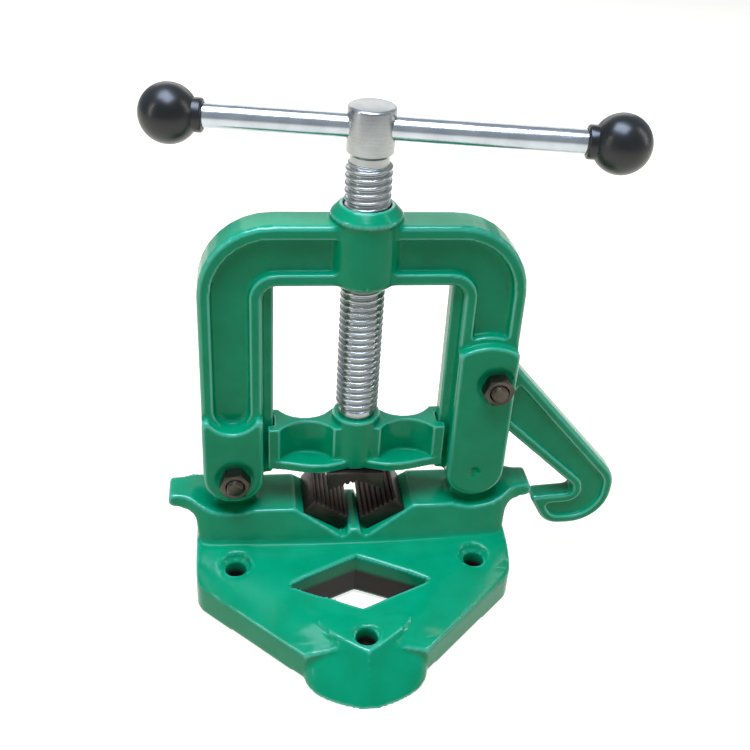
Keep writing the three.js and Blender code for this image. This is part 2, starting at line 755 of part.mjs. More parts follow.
// A slot between the cheeks of a leg, open below and to the outside.
function forkSlot(side, topZ) {
  const [a, b] = [side * SLOT_INNER_X, side * FAR];
  const [low, high] = [Math.min(a, b), Math.max(a, b)];
  const half = EAR_HALF_THICKNESS + FORK_GAP;
  return box(low, high, -half, half, 0, topZ);
}

// The slot that the hook swings in, open to the outside, with a floor that slopes like its arm.
function hookSlot() {
  const half = HOOK_HALF_THICKNESS + FORK_GAP;
  const top = HOOK_PIVOT_Z + HOOK_EYE_R + HOOK_SLOT_ROOM;
  const swing = 1 + Math.tan(radians(HOOK_SLOT_SWING_DEG));
  const floor = (x) => HOOK_PIVOT_Z - HOOK_SLOT_ROOM - hookInner(x - HOOK_PIVOT_X) * swing;
  const shape = polygon([
    [SLOT_INNER_X, floor(SLOT_INNER_X)],
    [LEG_OUTER_X + 5, floor(LEG_OUTER_X + 5)],
    [LEG_OUTER_X + 5, top],
    [SLOT_INNER_X, top],
  ]);
  return prismY(shape, -half, half);
}

function guideRail(side) {
  const [a, b] = [side * RAIL_X, side * (LEG_INNER_X + 1)];
  const [low, high] = [Math.min(a, b), Math.max(a, b)];
  const shape = rounded([
    [low, RAIL_END_Z, side < 0 ? 0 : 2],
    [high, RAIL_END_Z, side < 0 ? 2 : 0],
    [high, ARCH_UNDER_Z + 1, 0],
    [low, ARCH_UNDER_Z + 1, 0],
  ]);
  return prismY(shape, -RAIL_HALF_DEPTH, RAIL_HALF_DEPTH);
}

const COLLAR_FOOT_Z = ARCH_TOP_Z + COLLAR_RISE;
const COLLAR_TOP_Z = COLLAR_FOOT_Z + COLLAR_HEIGHT;

// The boss that the screw runs in, with a sloped collar on top.
function screwBoss() {
  return turned(
    [
      [0, ARCH_UNDER_Z - 0.5],
      [YOKE_BOSS_R - 1.5, ARCH_UNDER_Z - 0.5],
      [YOKE_BOSS_R, ARCH_UNDER_Z + 1],
      [YOKE_BOSS_R, ARCH_TOP_Z],
      [COLLAR_FOOT_R, COLLAR_FOOT_Z - 1],
      [COLLAR_FOOT_R, COLLAR_FOOT_Z],
      [COLLAR_TOP_R, COLLAR_TOP_Z],
      [0, COLLAR_TOP_Z],
    ],
    32,
  );
}

function yokeCasting() {
  const frame = prismY(rounded(yokeOutline()), -YOKE_HALF_DEPTH, YOKE_HALF_DEPTH, CASTING_EDGE);
  const body = join(
    cut(frame, panel(-1), panel(1)),
    legPads(),
    guideRail(LEFT),
    guideRail(RIGHT),
    screwBoss(),
  );
  const pivot = PIVOT_BOLT_R + RUNNING_GAP;
  const seat = PAD_HALF_DEPTH - NUT_SEAT_DEPTH;
  const dimple = new THREE.SphereGeometry(DIMPLE_R, 20, 12).translate(
    YOKE_PIVOT_X,
    -PAD_HALF_DEPTH - DIMPLE_R + DIMPLE_DEPTH,
    YOKE_PIVOT_Z,
  );
  return cut(
    body,
    forkSlot(LEFT, YOKE_PIVOT_Z + EAR_RADIUS + EAR_ROOM),
    forkSlot(RIGHT, REST_TONGUE_Z + RUNNING_GAP),
    hookSlot(),
    across(pivot, -YOKE_PIVOT_X, YOKE_PIVOT_Z),
    across(NUT_SEAT_R, -YOKE_PIVOT_X, YOKE_PIVOT_Z, -FAR, -seat),
    across(NUT_SEAT_R, -YOKE_PIVOT_X, YOKE_PIVOT_Z, seat, FAR),
    across(pivot, HOOK_PIVOT_X, HOOK_PIVOT_Z),
    across(NUT_SEAT_R, HOOK_PIVOT_X, HOOK_PIVOT_Z, -FAR, -seat),
    across(NUT_SEAT_R, HOOK_PIVOT_X, HOOK_PIVOT_Z, seat, FAR),
    rod(SCREW_R + RUNNING_GAP, [0, 0, ARCH_UNDER_Z - 5], [0, 0, COLLAR_TOP_Z + 5], 32),
    solid(dimple),
  );
}

// PIVOT BOLTS AND NUTS, head at the back and nut in front

const PAD_SEAT_Y = PAD_HALF_DEPTH - NUT_SEAT_DEPTH;

function hexagon(x, z) {
  const radius = HEX_ACROSS_FLATS / Math.sqrt(3);
  const points = [0, 1, 2, 3, 4, 5].map((k) => {
    const angle = radians(60 * k + 8);
    return [x + radius * Math.cos(angle), z + radius * Math.sin(angle)];
  });
  return polygon(points);
}

function pivotBolt(x, z) {
  const headFrom = PAD_SEAT_Y + RUNNING_GAP;
  const head = prismY(hexagon(x, z), headFrom, headFrom + BOLT_HEAD_HEIGHT, 0.6);
  const end = -(PAD_SEAT_Y + RUNNING_GAP + NUT_HEIGHT + BOLT_END);
  return join(head, across(PIVOT_BOLT_R, x, z, end, headFrom + 1));
}

function pivotNut(x, z) {
  const front = -(PAD_SEAT_Y + RUNNING_GAP);
  const nut = prismY(hexagon(x, z), front - NUT_HEIGHT, front, 0.6);
  return cut(nut, across(PIVOT_BOLT_R + RUNNING_GAP, x, z));
}

// HOOK, drawn about its pivot as it hangs when it holds the yoke shut

const HOOK_THROAT_X = HOOK_REACH_X - HOOK_HEEL_WIDTH;

// Depth of the inner edge of the arm, a straight line from beside the eye to the throat.
function hookInner(x) {
  const share = (x + HOOK_EYE_R) / (HOOK_THROAT_X + HOOK_EYE_R);
  return THREE.MathUtils.lerp(HOOK_EYE_DROP, HOOK_THROAT_DROP, share);
}

// Depth of the outer edge, which passes the eye at the radius of the eye and ends at the shoulder.
function hookOuter(x) {
  const toShoulder = Math.atan2(HOOK_SHOULDER_DROP, HOOK_REACH_X);
  const aside = Math.asin(HOOK_EYE_R / Math.hypot(HOOK_SHOULDER_DROP, HOOK_REACH_X));
  const angle = toShoulder + aside;
  return Math.tan(angle) * x - HOOK_EYE_R / Math.cos(angle);
}

function hookOutline() {
  const tipX = HOOK_THROAT_X - HOOK_FINGER_LENGTH;
  const r = HOOK_EYE_R;
  return [
    [-r, r * 0.75, r * 0.75],
    [r * 0.66, -hookOuter(r * 0.66), r * 0.8],
    [HOOK_REACH_X, -HOOK_SHOULDER_DROP, 16],
    [HOOK_REACH_X - 3, -HOOK_DROP, HOOK_HEEL_WIDTH * 0.95],
    [tipX + HOOK_TIP_SLANT, -HOOK_DROP + HOOK_TIP_RISE, 12],
    [tipX, -HOOK_FINGER_TOP, 1.6],
    [HOOK_THROAT_X, -HOOK_FINGER_TOP, 2.5],
    [HOOK_THROAT_X, -HOOK_THROAT_DROP, 3],
    [-r, -HOOK_EYE_DROP, 7],
  ];
}

function hookLatch() {
  const half = HOOK_HALF_THICKNESS;
  const outline = hookOutline();
  const body = prismY(rounded(outline), -half, half, CASTING_EDGE);
  const deep = half - HOOK_PANEL_DEPTH;
  const recess = rounded(inset(outline, HOOK_RIM));
  const eye = across(HOOK_EYE_R + 2.5, 0, 0);
  const front = cut(prismY(recess, -FAR, -deep), eye);
  const back = cut(prismY(recess, deep, FAR), eye);
  return cut(body, front, back, across(PIVOT_BOLT_R + RUNNING_GAP, 0, 0));
}

// CROSSHEAD, guided by the rails of the yoke

// Plan of the bottom flange, with a lobe in front and behind under each pocket.
function flangePlan() {
  const end = CROSSHEAD_HALF_LENGTH;
  const shape = new THREE.Shape();
  const d = CROSSHEAD_HALF_DEPTH;
  const lobe = FLANGE_LOBE_Y;
  const lx = FLANGE_LOBE_X;
  shape.moveTo(end, -d);
  shape.lineTo(end, d);
  for (const [sx, sy] of [
    [RIGHT, 1],
    [LEFT, 1],
    [LEFT, -1],
    [RIGHT, -1],
  ]) {
    const outward = sx * sy;
    const from = outward > 0 ? sx * end : 0;
    const to = outward > 0 ? 0 : sx * end;
    const y0 = sy * (outward > 0 ? d : FLANGE_WAIST_Y);
    const y1 = sy * (outward > 0 ? FLANGE_WAIST_Y : d);
    if (sx === LEFT && sy === -1) shape.lineTo(from, y0);
    shape.bezierCurveTo(
      from + (sx * lx - from) * 0.45,
      y0 + (sy * lobe - y0) * 0.2,
      from + (sx * lx - from) * 0.6,
      sy * lobe,
      sx * lx,
      sy * lobe,
    );
    shape.bezierCurveTo(
      sx * lx + (to - sx * lx) * 0.4,
      sy * lobe,
      sx * lx + (to - sx * lx) * 0.55,
      y1 + (sy * lobe - y1) * 0.2,
      to,
      y1,
    );
  }
  shape.closePath();
  return shape;
}

function crosshead() {
  const z0 = CROSSHEAD_BOTTOM_Z;
  const floor = z0 + FLANGE_THICKNESS;
  const [length, depth] = [CROSSHEAD_HALF_LENGTH, CROSSHEAD_HALF_DEPTH];
  const block = box(-length, length, -depth, depth, z0, CROSSHEAD_TOP_Z);
  const pockets = [];
  for (const x of [-POCKET_X, POCKET_X]) {
    for (const side of [-1, 1]) {
      const y = side * (POCKET_WEB / 2 + POCKET_R);
      pockets.push(rod(POCKET_R, [x, y, floor], [x, y, FAR], 48));
    }
  }
  const column = rod(CROSSHEAD_COLLAR_R, [0, 0, z0], [0, 0, CROSSHEAD_COLLAR_TOP_Z], 40);
  const flange = prismZ(flangePlan(), z0, floor, 0, 6);
  const slotDepth = RAIL_X - SLIDE_GAP;
  const slotHalf = RAIL_HALF_DEPTH + SLIDE_GAP;
  const body = join(cut(block, ...pockets), column, flange);
  const pins = [LEFT, RIGHT].map((side) => upperPin(side, RUNNING_GAP));
  return cut(
    body,
    box(slotDepth, FAR, -slotHalf, slotHalf, 0, FAR),
    box(-FAR, -slotDepth, -slotHalf, slotHalf, 0, FAR),
    rod(JOURNAL_R + RUNNING_GAP, [0, 0, z0 - 1], [0, 0, FAR], 32),
    rod(RETAINER_R + SLIDE_GAP, [0, 0, z0 - 1], [0, 0, z0 + RETAINER_POCKET_DEPTH], 32),
    ...pins,
  );
}

// UPPER JAW, an inverted V with teeth, held up into the crosshead by two dowels

const UPPER_JAW_TOP_Z = CROSSHEAD_BOTTOM_Z - RUNNING_GAP;

function upperPin(side, extra) {
  const [x, y] = [side * UPPER_PIN_X, side * UPPER_PIN_Y];
  const reach = JAW_PIN_LENGTH / 2 + extra;
  const middle = CROSSHEAD_BOTTOM_Z - RUNNING_GAP / 2;
  return rod(JAW_PIN_R - 1 + extra, [x, y, middle - reach], [x, y, middle + reach], 16);
}

function upperJaw() {
  const low = UPPER_JAW_TOP_Z - UPPER_JAW_HEIGHT;
  const half = UPPER_JAW_HALF_WIDTH;
  const pitch = (2 * half) / UPPER_JAW_TEETH;
  const vee = (x) => low + UPPER_JAW_V_DEPTH * (1 - Math.abs(x) / half);
  const outline = [
    [half, UPPER_JAW_TOP_Z],
    [-half, UPPER_JAW_TOP_Z],
  ];
  for (let k = 0; k < UPPER_JAW_TEETH; k += 1) {
    const x = -half + k * pitch;
    outline.push([x, vee(x) + (k === 0 ? 0 : TOOTH_DEPTH)]);
    outline.push([x + pitch * 0.3, vee(x + pitch * 0.3)]);
    outline.push([x + pitch * 0.7, vee(x + pitch * 0.7)]);
  }
  outline.push([half, vee(half)]);
  const jaw = prismY(polygon(outline), -JAW_HALF_LENGTH, JAW_HALF_LENGTH);
  return cut(jaw, upperPin(LEFT, RUNNING_GAP), upperPin(RIGHT, RUNNING_GAP));
}

// SCREW, its retainer under the crosshead, and the handle

const SCREW_HEAD_TOP_Z = ARCH_TOP_Z + SCREW_HEAD_RISE;
const HEAD_BOTTOM_Z = SCREW_HEAD_TOP_Z - SCREW_HEAD_HEIGHT;
const THREAD_TOP_Z = HEAD_BOTTOM_Z - NECK_HEIGHT;
const SHOULDER_Z = CROSSHEAD_COLLAR_TOP_Z + RUNNING_GAP;
const THREAD_END_Z = SHOULDER_Z + SHOULDER_HEIGHT;
const POCKET_ROOF_Z = CROSSHEAD_BOTTOM_Z + RETAINER_POCKET_DEPTH;
const JOURNAL_END_Z = POCKET_ROOF_Z - RUNNING_GAP;
const BAR_Z = SCREW_HEAD_TOP_Z - BAR_BELOW_TOP;
const barAlong = new THREE.Vector3(
  Math.cos(radians(BAR_TURN_DEG)),
  Math.sin(radians(BAR_TURN_DEG)),
  0,
);

function onBar(distance) {
  return [barAlong.x * distance, barAlong.y * distance, BAR_Z];
}

const RETAINER_TOP_Z = JOURNAL_END_Z - RUNNING_GAP;
const RETAINER_UNDER_Z = RETAINER_TOP_Z - RETAINER_THICKNESS;
const RETAINER_HEAD_Z = RETAINER_UNDER_Z - RUNNING_GAP;

// A right-hand thread as one closed solid. A crest line and a root line wind up side by side,
// and a fan to the axis closes each end.
function thread(fromZ, toZ) {
  const turns = Math.ceil((toZ - fromZ) / THREAD_PITCH) + 2;
  const last = turns * THREAD_STEPS;
  const onHelix = (k, radius, lift) => {
    const angle = (2 * Math.PI * k) / THREAD_STEPS;
    const z = fromZ + THREAD_PITCH * (k / THREAD_STEPS - 1.5) + lift;
    return [radius * Math.cos(angle), radius * Math.sin(angle), z];
  };
  const crest = (k) => onHelix(k, SCREW_R, 0);
  const root = (k) => onHelix(k, SCREW_R - THREAD_DEPTH, THREAD_PITCH / 2);
  const positions = [];
  const face = (...points) => points.forEach((point) => positions.push(...point));
  for (let k = 0; k < last; k += 1) {
    face(crest(k), crest(k + 1), root(k + 1));
    face(crest(k), root(k + 1), root(k));
    face(root(k), root(k + 1), crest(k + 1 + THREAD_STEPS));
    face(root(k), crest(k + 1 + THREAD_STEPS), crest(k + THREAD_STEPS));
  }
  const bottom = [0, 0, root(0)[2]];
  const top = [0, 0, root(last)[2]];
  for (let k = 0; k < THREAD_STEPS; k += 1) {
    face(bottom, crest(k + 1), crest(k));
    face(top, crest(last + k), crest(last + k + 1));
  }
  face(bottom, crest(0), root(0));
  face(bottom, root(0), crest(THREAD_STEPS));
  face(top, root(last), crest(last));
  face(top, crest(last + THREAD_STEPS), root(last));
  const geometry = new THREE.BufferGeometry();
  geometry.setAttribute("position", new THREE.Float32BufferAttribute(positions, 3));
  const blank = turned(
    [
      [0, fromZ],
      [SCREW_R - THREAD_DEPTH, fromZ],
      [SCREW_R + SCREW_CHAMFER, fromZ + THREAD_DEPTH + SCREW_CHAMFER],
      [SCREW_R + SCREW_CHAMFER, toZ - THREAD_DEPTH - SCREW_CHAMFER],
      [SCREW_R - THREAD_DEPTH, toZ],
      [0, toZ],
    ],
    THREAD_STEPS,
  );
  return solid(geometry).intersect(blank);
}

function clampScrew() {
  const c = SCREW_CHAMFER;
  const journal = turned(
    [
      [0, JOURNAL_END_Z],
      [JOURNAL_R - 0.5, JOURNAL_END_Z],
      [JOURNAL_R, JOURNAL_END_Z + 0.5],
      [JOURNAL_R, SHOULDER_Z],
      [SHOULDER_R, SHOULDER_Z],
      [SHOULDER_R, THREAD_END_Z + c],
      [0, THREAD_END_Z + c],
    ],
    28,
  );
  const head = turned(
    [
      [0, THREAD_TOP_Z - c],
      [NECK_R, THREAD_TOP_Z - c],
      [NECK_R, HEAD_BOTTOM_Z],
      [SCREW_R - 0.6, HEAD_BOTTOM_Z],
      [SCREW_R, HEAD_BOTTOM_Z + 0.6],
      [SCREW_R, SCREW_HEAD_TOP_Z - c],
      [SCREW_R - c, SCREW_HEAD_TOP_Z],
      [0, SCREW_HEAD_TOP_Z],
    ],
    32,
  );
  const boltZ = RETAINER_HEAD_Z + RETAINER_BOLT_LENGTH + RUNNING_GAP;
  return cut(
    join(journal, thread(THREAD_END_Z, THREAD_TOP_Z), head),
    rod(BAR_R + RUNNING_GAP, onBar(-FAR), onBar(FAR), 24),
    rod(RETAINER_BOLT_R + RUNNING_GAP, [0, 0, 0], [0, 0, boltZ], 16),
  );
}

function retainerWasher() {
  const disc = rod(RETAINER_R, [0, 0, RETAINER_UNDER_Z], [0, 0, RETAINER_TOP_Z], 32);
  return cut(disc, rod(RETAINER_BOLT_R + RUNNING_GAP, [0, 0, 0], [0, 0, FAR], 20));
}

function retainerBolt() {
  const headZ = RETAINER_HEAD_Z - RETAINER_HEAD_HEIGHT;
  return turned(
    [
      [0, headZ],
      [RETAINER_HEAD_R - 0.8, headZ],
      [RETAINER_HEAD_R, headZ + 0.8],
      [RETAINER_HEAD_R, RETAINER_HEAD_Z],
      [RETAINER_BOLT_R, RETAINER_HEAD_Z],
      [RETAINER_BOLT_R, RETAINER_HEAD_Z + RETAINER_BOLT_LENGTH - 0.5],
      [RETAINER_BOLT_R - 0.5, RETAINER_HEAD_Z + RETAINER_BOLT_LENGTH],
      [0, RETAINER_HEAD_Z + RETAINER_BOLT_LENGTH],
    ],
    20,
  );
}

const BAR_HALF_LENGTH = KNOB_SPACING / 2 + KNOB_R - KNOB_BLIND - KNOB_R * 0.5;

function handleBar() {
  return rod(BAR_R, onBar(BAR_SHIFT - BAR_HALF_LENGTH), onBar(BAR_SHIFT + BAR_HALF_LENGTH), 28);
}

// A ball knob about its own centre, with its bore and neck towards -X.
function knob() {
  const steps = 9;
  const open = Math.acos(KNOB_NECK_R / KNOB_R);
  const profile = [[0, -KNOB_R]];
  for (let k = 1; k <= steps; k += 1) {
    const angle = -Math.PI / 2 + ((Math.PI / 2 + open) * k) / steps;
    profile.push([KNOB_R * Math.cos(angle), KNOB_R * Math.sin(angle)]);
  }
  const neckEnd = KNOB_R + KNOB_NECK - 1.4;
  profile.push([KNOB_NECK_R, neckEnd - 0.8], [KNOB_NECK_R - 0.8, neckEnd], [0, neckEnd]);
  const bore = BAR_HALF_LENGTH - KNOB_SPACING / 2 + RUNNING_GAP;
  return cut(
    turned(profile, 26),
    rod(BAR_R + RUNNING_GAP, [0, 0, -bore], [0, 0, FAR], 20),
  );
}

// THE ASSEMBLY

const ENAMEL = { color: 0x0f7a58, roughness: 0.32, metalness: 0.0 };
const BRIGHT_STEEL = { color: 0xb9bec2, roughness: 0.3, metalness: 1.0 };
const BLACK_OXIDE = { color: 0x221e1d, roughness: 0.5, metalness: 0.7 };
const TOOL_STEEL = { color: 0x1f1c1b, roughness: 0.55, metalness: 0.6 };
const BLACK_PHENOLIC = { color: 0x0d0d0e, roughness: 0.2, metalness: 0.0 };

function mesh(name, body, finish) {
  const shape = body.getMesh();
  const geometry = new THREE.BufferGeometry();
  geometry.setAttribute("position", new THREE.BufferAttribute(shape.vertProperties, 3));
  geometry.setIndex(new THREE.BufferAttribute(shape.triVerts, 1));
  geometry.computeVertexNormals();
  const made = new THREE.Mesh(geometry, new THREE.MeshStandardMaterial(finish));
  made.name = name;
  return made;
}

const vise = new THREE.Group();
vise.add(
  mesh("base_casting", baseCasting(), ENAMEL),
  mesh("lower_jaw_left", lowerJaw(LEFT), TOOL_STEEL),
  mesh("lower_jaw_right", lowerJaw(RIGHT), TOOL_STEEL),
  mesh("lower_jaw_pin_left", jawPin(LEFT, JAW_PIN_R, 0), BRIGHT_STEEL),
  mesh("lower_jaw_pin_right", jawPin(RIGHT, JAW_PIN_R, 0), BRIGHT_STEEL),
);

const yoke = new THREE.Group();
yoke.add(
  mesh("yoke_casting", yokeCasting(), ENAMEL),
  mesh("yoke_pivot_bolt", pivotBolt(-YOKE_PIVOT_X, YOKE_PIVOT_Z), BLACK_OXIDE),
  mesh("yoke_pivot_nut", pivotNut(-YOKE_PIVOT_X, YOKE_PIVOT_Z), BLACK_OXIDE),
  mesh("hook_pivot_bolt", pivotBolt(HOOK_PIVOT_X, HOOK_PIVOT_Z), BLACK_OXIDE),
  mesh("hook_pivot_nut", pivotNut(HOOK_PIVOT_X, HOOK_PIVOT_Z), BLACK_OXIDE),
);

const hook = new THREE.Group();
hook.position.set(HOOK_PIVOT_X, 0, HOOK_PIVOT_Z);
hook.rotation.y = -radians(HOOK_OPEN_DEG);
hook.add(mesh("hook_latch", hookLatch(), ENAMEL));
yoke.add(hook);

const slider = new THREE.Group();
slider.add(
  mesh("crosshead", crosshead(), ENAMEL),
  mesh("upper_jaw", upperJaw(), TOOL_STEEL),
  mesh("upper_jaw_pin_left", upperPin(LEFT, 0), BRIGHT_STEEL),
  mesh("upper_jaw_pin_right", upperPin(RIGHT, 0), BRIGHT_STEEL),
);

const screw = new THREE.Group();
screw.add(
  mesh("clamp_screw", clampScrew(), BRIGHT_STEEL),
  mesh("screw_retainer_washer", retainerWasher(), BRIGHT_STEEL),
  mesh("screw_retainer_bolt", retainerBolt(), BLACK_OXIDE),
);

const handle = new THREE.Group();
handle.add(mesh("handle_bar", handleBar(), BRIGHT_STEEL));
for (const [name, side] of [
  ["knob_left", LEFT],
  ["knob_right", RIGHT],
]) {
  const ball = mesh(name, knob(), BLACK_PHENOLIC);
  const towardsScrew = barAlong.clone().multiplyScalar(-side);
  ball.quaternion.setFromUnitVectors(new THREE.Vector3(0, 0, 1), towardsScrew);
  ball.position.set(...onBar(BAR_SHIFT + (side * KNOB_SPACING) / 2));
  handle.add(ball);
}

screw.add(handle);
slider.add(screw);
yoke.add(slider);
vise.add(yoke);

export default vise;
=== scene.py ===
# %% [markdown]
# # A bench yoke pipe vise
#
# This vise clamps a pipe between toothed jaws. A green cast base carries the lower jaws in a V, a cast
# yoke is hinged over it and held shut by a swing hook, and a steel screw drives the upper jaw down.
# The solids of every piece are loaded first, at their real size. Each cell after that takes one piece or
# one finish and turns the plain solid into something that looks cast, turned or painted.

import math

import bmesh
import bpy
import numpy as np
from mathutils import Matrix, Vector


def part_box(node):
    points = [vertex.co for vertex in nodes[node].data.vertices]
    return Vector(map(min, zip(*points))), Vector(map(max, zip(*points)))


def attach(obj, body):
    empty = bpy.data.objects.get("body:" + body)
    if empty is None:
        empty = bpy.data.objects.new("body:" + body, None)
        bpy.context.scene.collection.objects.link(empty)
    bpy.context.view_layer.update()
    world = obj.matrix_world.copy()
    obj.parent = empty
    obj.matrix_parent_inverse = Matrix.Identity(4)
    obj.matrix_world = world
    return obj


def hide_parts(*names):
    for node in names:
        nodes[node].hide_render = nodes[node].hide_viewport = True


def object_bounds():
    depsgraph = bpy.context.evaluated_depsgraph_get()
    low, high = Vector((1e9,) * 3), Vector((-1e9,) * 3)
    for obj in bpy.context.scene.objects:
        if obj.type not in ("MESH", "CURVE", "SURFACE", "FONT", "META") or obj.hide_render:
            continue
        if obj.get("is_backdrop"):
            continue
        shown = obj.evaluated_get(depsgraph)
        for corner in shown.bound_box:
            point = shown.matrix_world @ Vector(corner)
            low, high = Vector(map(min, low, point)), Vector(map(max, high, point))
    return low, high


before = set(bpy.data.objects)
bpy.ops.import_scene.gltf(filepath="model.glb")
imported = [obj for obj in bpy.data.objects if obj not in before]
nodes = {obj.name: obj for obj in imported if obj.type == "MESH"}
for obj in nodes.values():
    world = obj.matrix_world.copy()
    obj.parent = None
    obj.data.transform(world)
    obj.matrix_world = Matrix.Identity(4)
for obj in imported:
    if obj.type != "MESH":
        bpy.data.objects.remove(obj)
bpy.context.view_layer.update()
MM = 0.001

# %% [markdown]
# ## Camera
#
# A photograph is a projection, so the camera comes first: everything else can then be compared with it.
# The lens was found by fitting a pinhole camera to straight edges and circles of the object. The camera
# looks down at the vise from a little to its left, and is tilted by a few degrees about its own axis.

# %% Place the camera
IMAGE_SIDE = 750
FOCAL_PIXELS = 1037.0
LOOK_DOWN = math.radians(32.58)
LOOK_RIGHT = math.radians(8.68)
ROLL = math.radians(3.69)
CAMERA_PLACE = Vector((-53.9, -405.4, 373.0)) * MM

forward = Vector((
    math.sin(LOOK_RIGHT) * math.cos(LOOK_DOWN),
    math.cos(LOOK_RIGHT) * math.cos(LOOK_DOWN),
    -math.sin(LOOK_DOWN),
))
level = Vector((math.cos(LOOK_RIGHT), -math.sin(LOOK_RIGHT), 0.0))
down = forward.cross(level)
image_x = math.cos(ROLL) * level - math.sin(ROLL) * down
image_y = math.sin(ROLL) * level + math.cos(ROLL) * down

lens = bpy.data.cameras.new("photo_camera")
lens.sensor_fit = "HORIZONTAL"
lens.sensor_width = 36.0
lens.lens = FOCAL_PIXELS / IMAGE_SIDE * lens.sensor_width
lens.clip_start = 0.01
camera = bpy.data.objects.new("photo_camera", lens)
bpy.context.scene.collection.objects.link(camera)
turn = Matrix((image_x, -image_y, -forward)).transposed()
camera.matrix_world = Matrix.Translation(CAMERA_PLACE) @ turn.to_4x4()
bpy.context.scene.camera = camera
print("lens in mm:", round(lens.lens, 2))

# %% [markdown]
# ## Floor
#
# The object stands on a plain white ground. The floor shines a little by itself, but only for rays that
# come straight from the camera, a mirror or glass. It then reads as white paper, also where steel mirrors
# it, and still takes the soft shadow of the vise.

# %% Lay the floor
PAPER, PAPER_GLOW = (0.66, 0.58, 0.42), 0.8
FLOOR_HALF, FLOOR_DROP = 3.0, 0.2 * MM


def math_node(tree, operation, a, b=0.0):
    """Adds a Math node; each of its two values is a number or another node's output."""
    node = tree.nodes.new("ShaderNodeMath")
    node.operation = operation
    for k, value in enumerate((a, b)):
        if isinstance(value, (int, float)):
            node.inputs[k].default_value = value
        else:
            tree.links.new(value, node.inputs[k])
    return node.outputs[0]


def seen_directly(tree):
    """1 for a ray from the camera, a mirror or glass, 0 for one that only carries light."""
    path = tree.nodes.new("ShaderNodeLightPath")
    mirror = math_node(tree, "MAXIMUM", path.outputs["Is Camera Ray"], path.outputs["Is Glossy Ray"])
    return math_node(tree, "MAXIMUM", mirror, path.outputs["Is Transmission Ray"])


def floor_material():
    material = bpy.data.materials.new("white_ground")
    material.use_nodes = True
    tree = material.node_tree
    tree.nodes.clear()
    out = tree.nodes.new("ShaderNodeOutputMaterial")
    paper = tree.nodes.new("ShaderNodeBsdfDiffuse")
    paper.inputs["Color"].default_value = (*PAPER, 1)
    glow = tree.nodes.new("ShaderNodeEmission")
    total = tree.nodes.new("ShaderNodeAddShader")
    tree.links.new(math_node(tree, "MULTIPLY", seen_directly(tree), PAPER_GLOW), glow.inputs["Strength"])
    tree.links.new(paper.outputs[0], total.inputs[0])
    tree.links.new(glow.outputs[0], total.inputs[1])
    tree.links.new(total.outputs[0], out.inputs["Surface"])
    return material


floor_mesh = bpy.data.meshes.new("ground")
corners = [(-1, -1), (1, -1), (1, 1), (-1, 1)]
places = [(FLOOR_HALF * x, FLOOR_HALF * y, -FLOOR_DROP) for x, y in corners]
floor_mesh.from_pydata(places, [], [(0, 1, 2, 3)])
ground = bpy.data.objects.new("ground", floor_mesh)
ground.data.materials.append(floor_material())
bpy.context.scene.collection.objects.link(ground)
ground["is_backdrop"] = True
print("floor side in metres:", 2 * FLOOR_HALF)

# %% [markdown]
# ## Light
#
# Soft light from large lamps shows the shape without hard shadows. A wide panel overhead lights the
# paint, a low panel behind is mirrored by the flat steel, and a narrow window on each side draws long
# highlights on what is round. The room gives little light by itself, but the camera and mirrors see it
# brighter, because bright metal is mostly a picture of the room around it.

# %% Hang the lamps
ROOM_COLOUR, ROOM_LIGHT, ROOM_MIRRORED = (0.92, 1.0, 1.06), 0.08, 0.4
world = bpy.data.worlds.new("studio")
bpy.context.scene.world = world
world.use_nodes = True
sky = world.node_tree.nodes["Background"]
sky.inputs["Color"].default_value = (*ROOM_COLOUR, 1)
mirrored = math_node(world.node_tree, "MULTIPLY", seen_directly(world.node_tree), ROOM_MIRRORED)
room = math_node(world.node_tree, "ADD", mirrored, ROOM_LIGHT)
world.node_tree.links.new(room, sky.inputs["Strength"])
bpy.context.scene.view_settings.view_transform = "Standard"


def soft_lamp(name, place, aim, size, watts, colour):
    data = bpy.data.lights.new(name, "AREA")
    data.shape = "RECTANGLE"
    data.size, data.size_y = size
    data.energy = watts
    data.color = colour
    lamp = bpy.data.objects.new(name, data)
    lamp.location = place
    lamp.rotation_euler = (Vector(aim) - Vector(place)).to_track_quat("-Z", "Y").to_euler()
    bpy.context.scene.collection.objects.link(lamp)


soft_lamp("sky_panel", (-0.15, -0.15, 1.3), (0, 0, 0), (0.9, 0.65), 19, (0.82, 1.0, 1.3))
soft_lamp("back_panel", (0.1, 1.1, 0.62), (0, 0, 0.2), (1.2, 0.5), 2.6, (1.0, 0.97, 0.94))
soft_lamp("window_left", (-1.0, -0.35, 0.55), (0, 0, 0.1), (0.08, 0.8), 1.8, (1.0, 0.98, 0.93))
soft_lamp("window_right", (0.9, -0.1, 0.6), (0, 0, 0.1), (0.08, 0.8), 1.8, (1.0, 0.98, 0.93))

# %% [markdown]
# ## Surface effects shared by several finishes
#
# A casting is never flat: the sand leaves a fine grain, and thick paint pools and pulls over it. Both
# effects are needed on four castings, so they are a shader node group that is built once. A second group
# gives steel and moulded pieces their fine streaks and clouds. Both read Object coordinates, so a pattern
# keeps its real size in metres on each piece and rides along with it.

# %% Build the cast-skin and fine-wear groups
def new_group(name, inputs, outputs):
    group = bpy.data.node_groups.new(name, "ShaderNodeTree")
    for label, value in inputs:
        socket = group.interface.new_socket(label, in_out="INPUT", socket_type="NodeSocketFloat")
        socket.default_value = value
    for label in outputs:
        group.interface.new_socket(label, in_out="OUTPUT", socket_type="NodeSocketFloat")
    return group, group.nodes.new("NodeGroupInput"), group.nodes.new("NodeGroupOutput")


def noise(tree, vector, detail, roughness):
    node = tree.nodes.new("ShaderNodeTexNoise")
    node.inputs["Detail"].default_value = detail
    node.inputs["Roughness"].default_value = roughness
    tree.links.new(vector, node.inputs["Vector"])
    return node


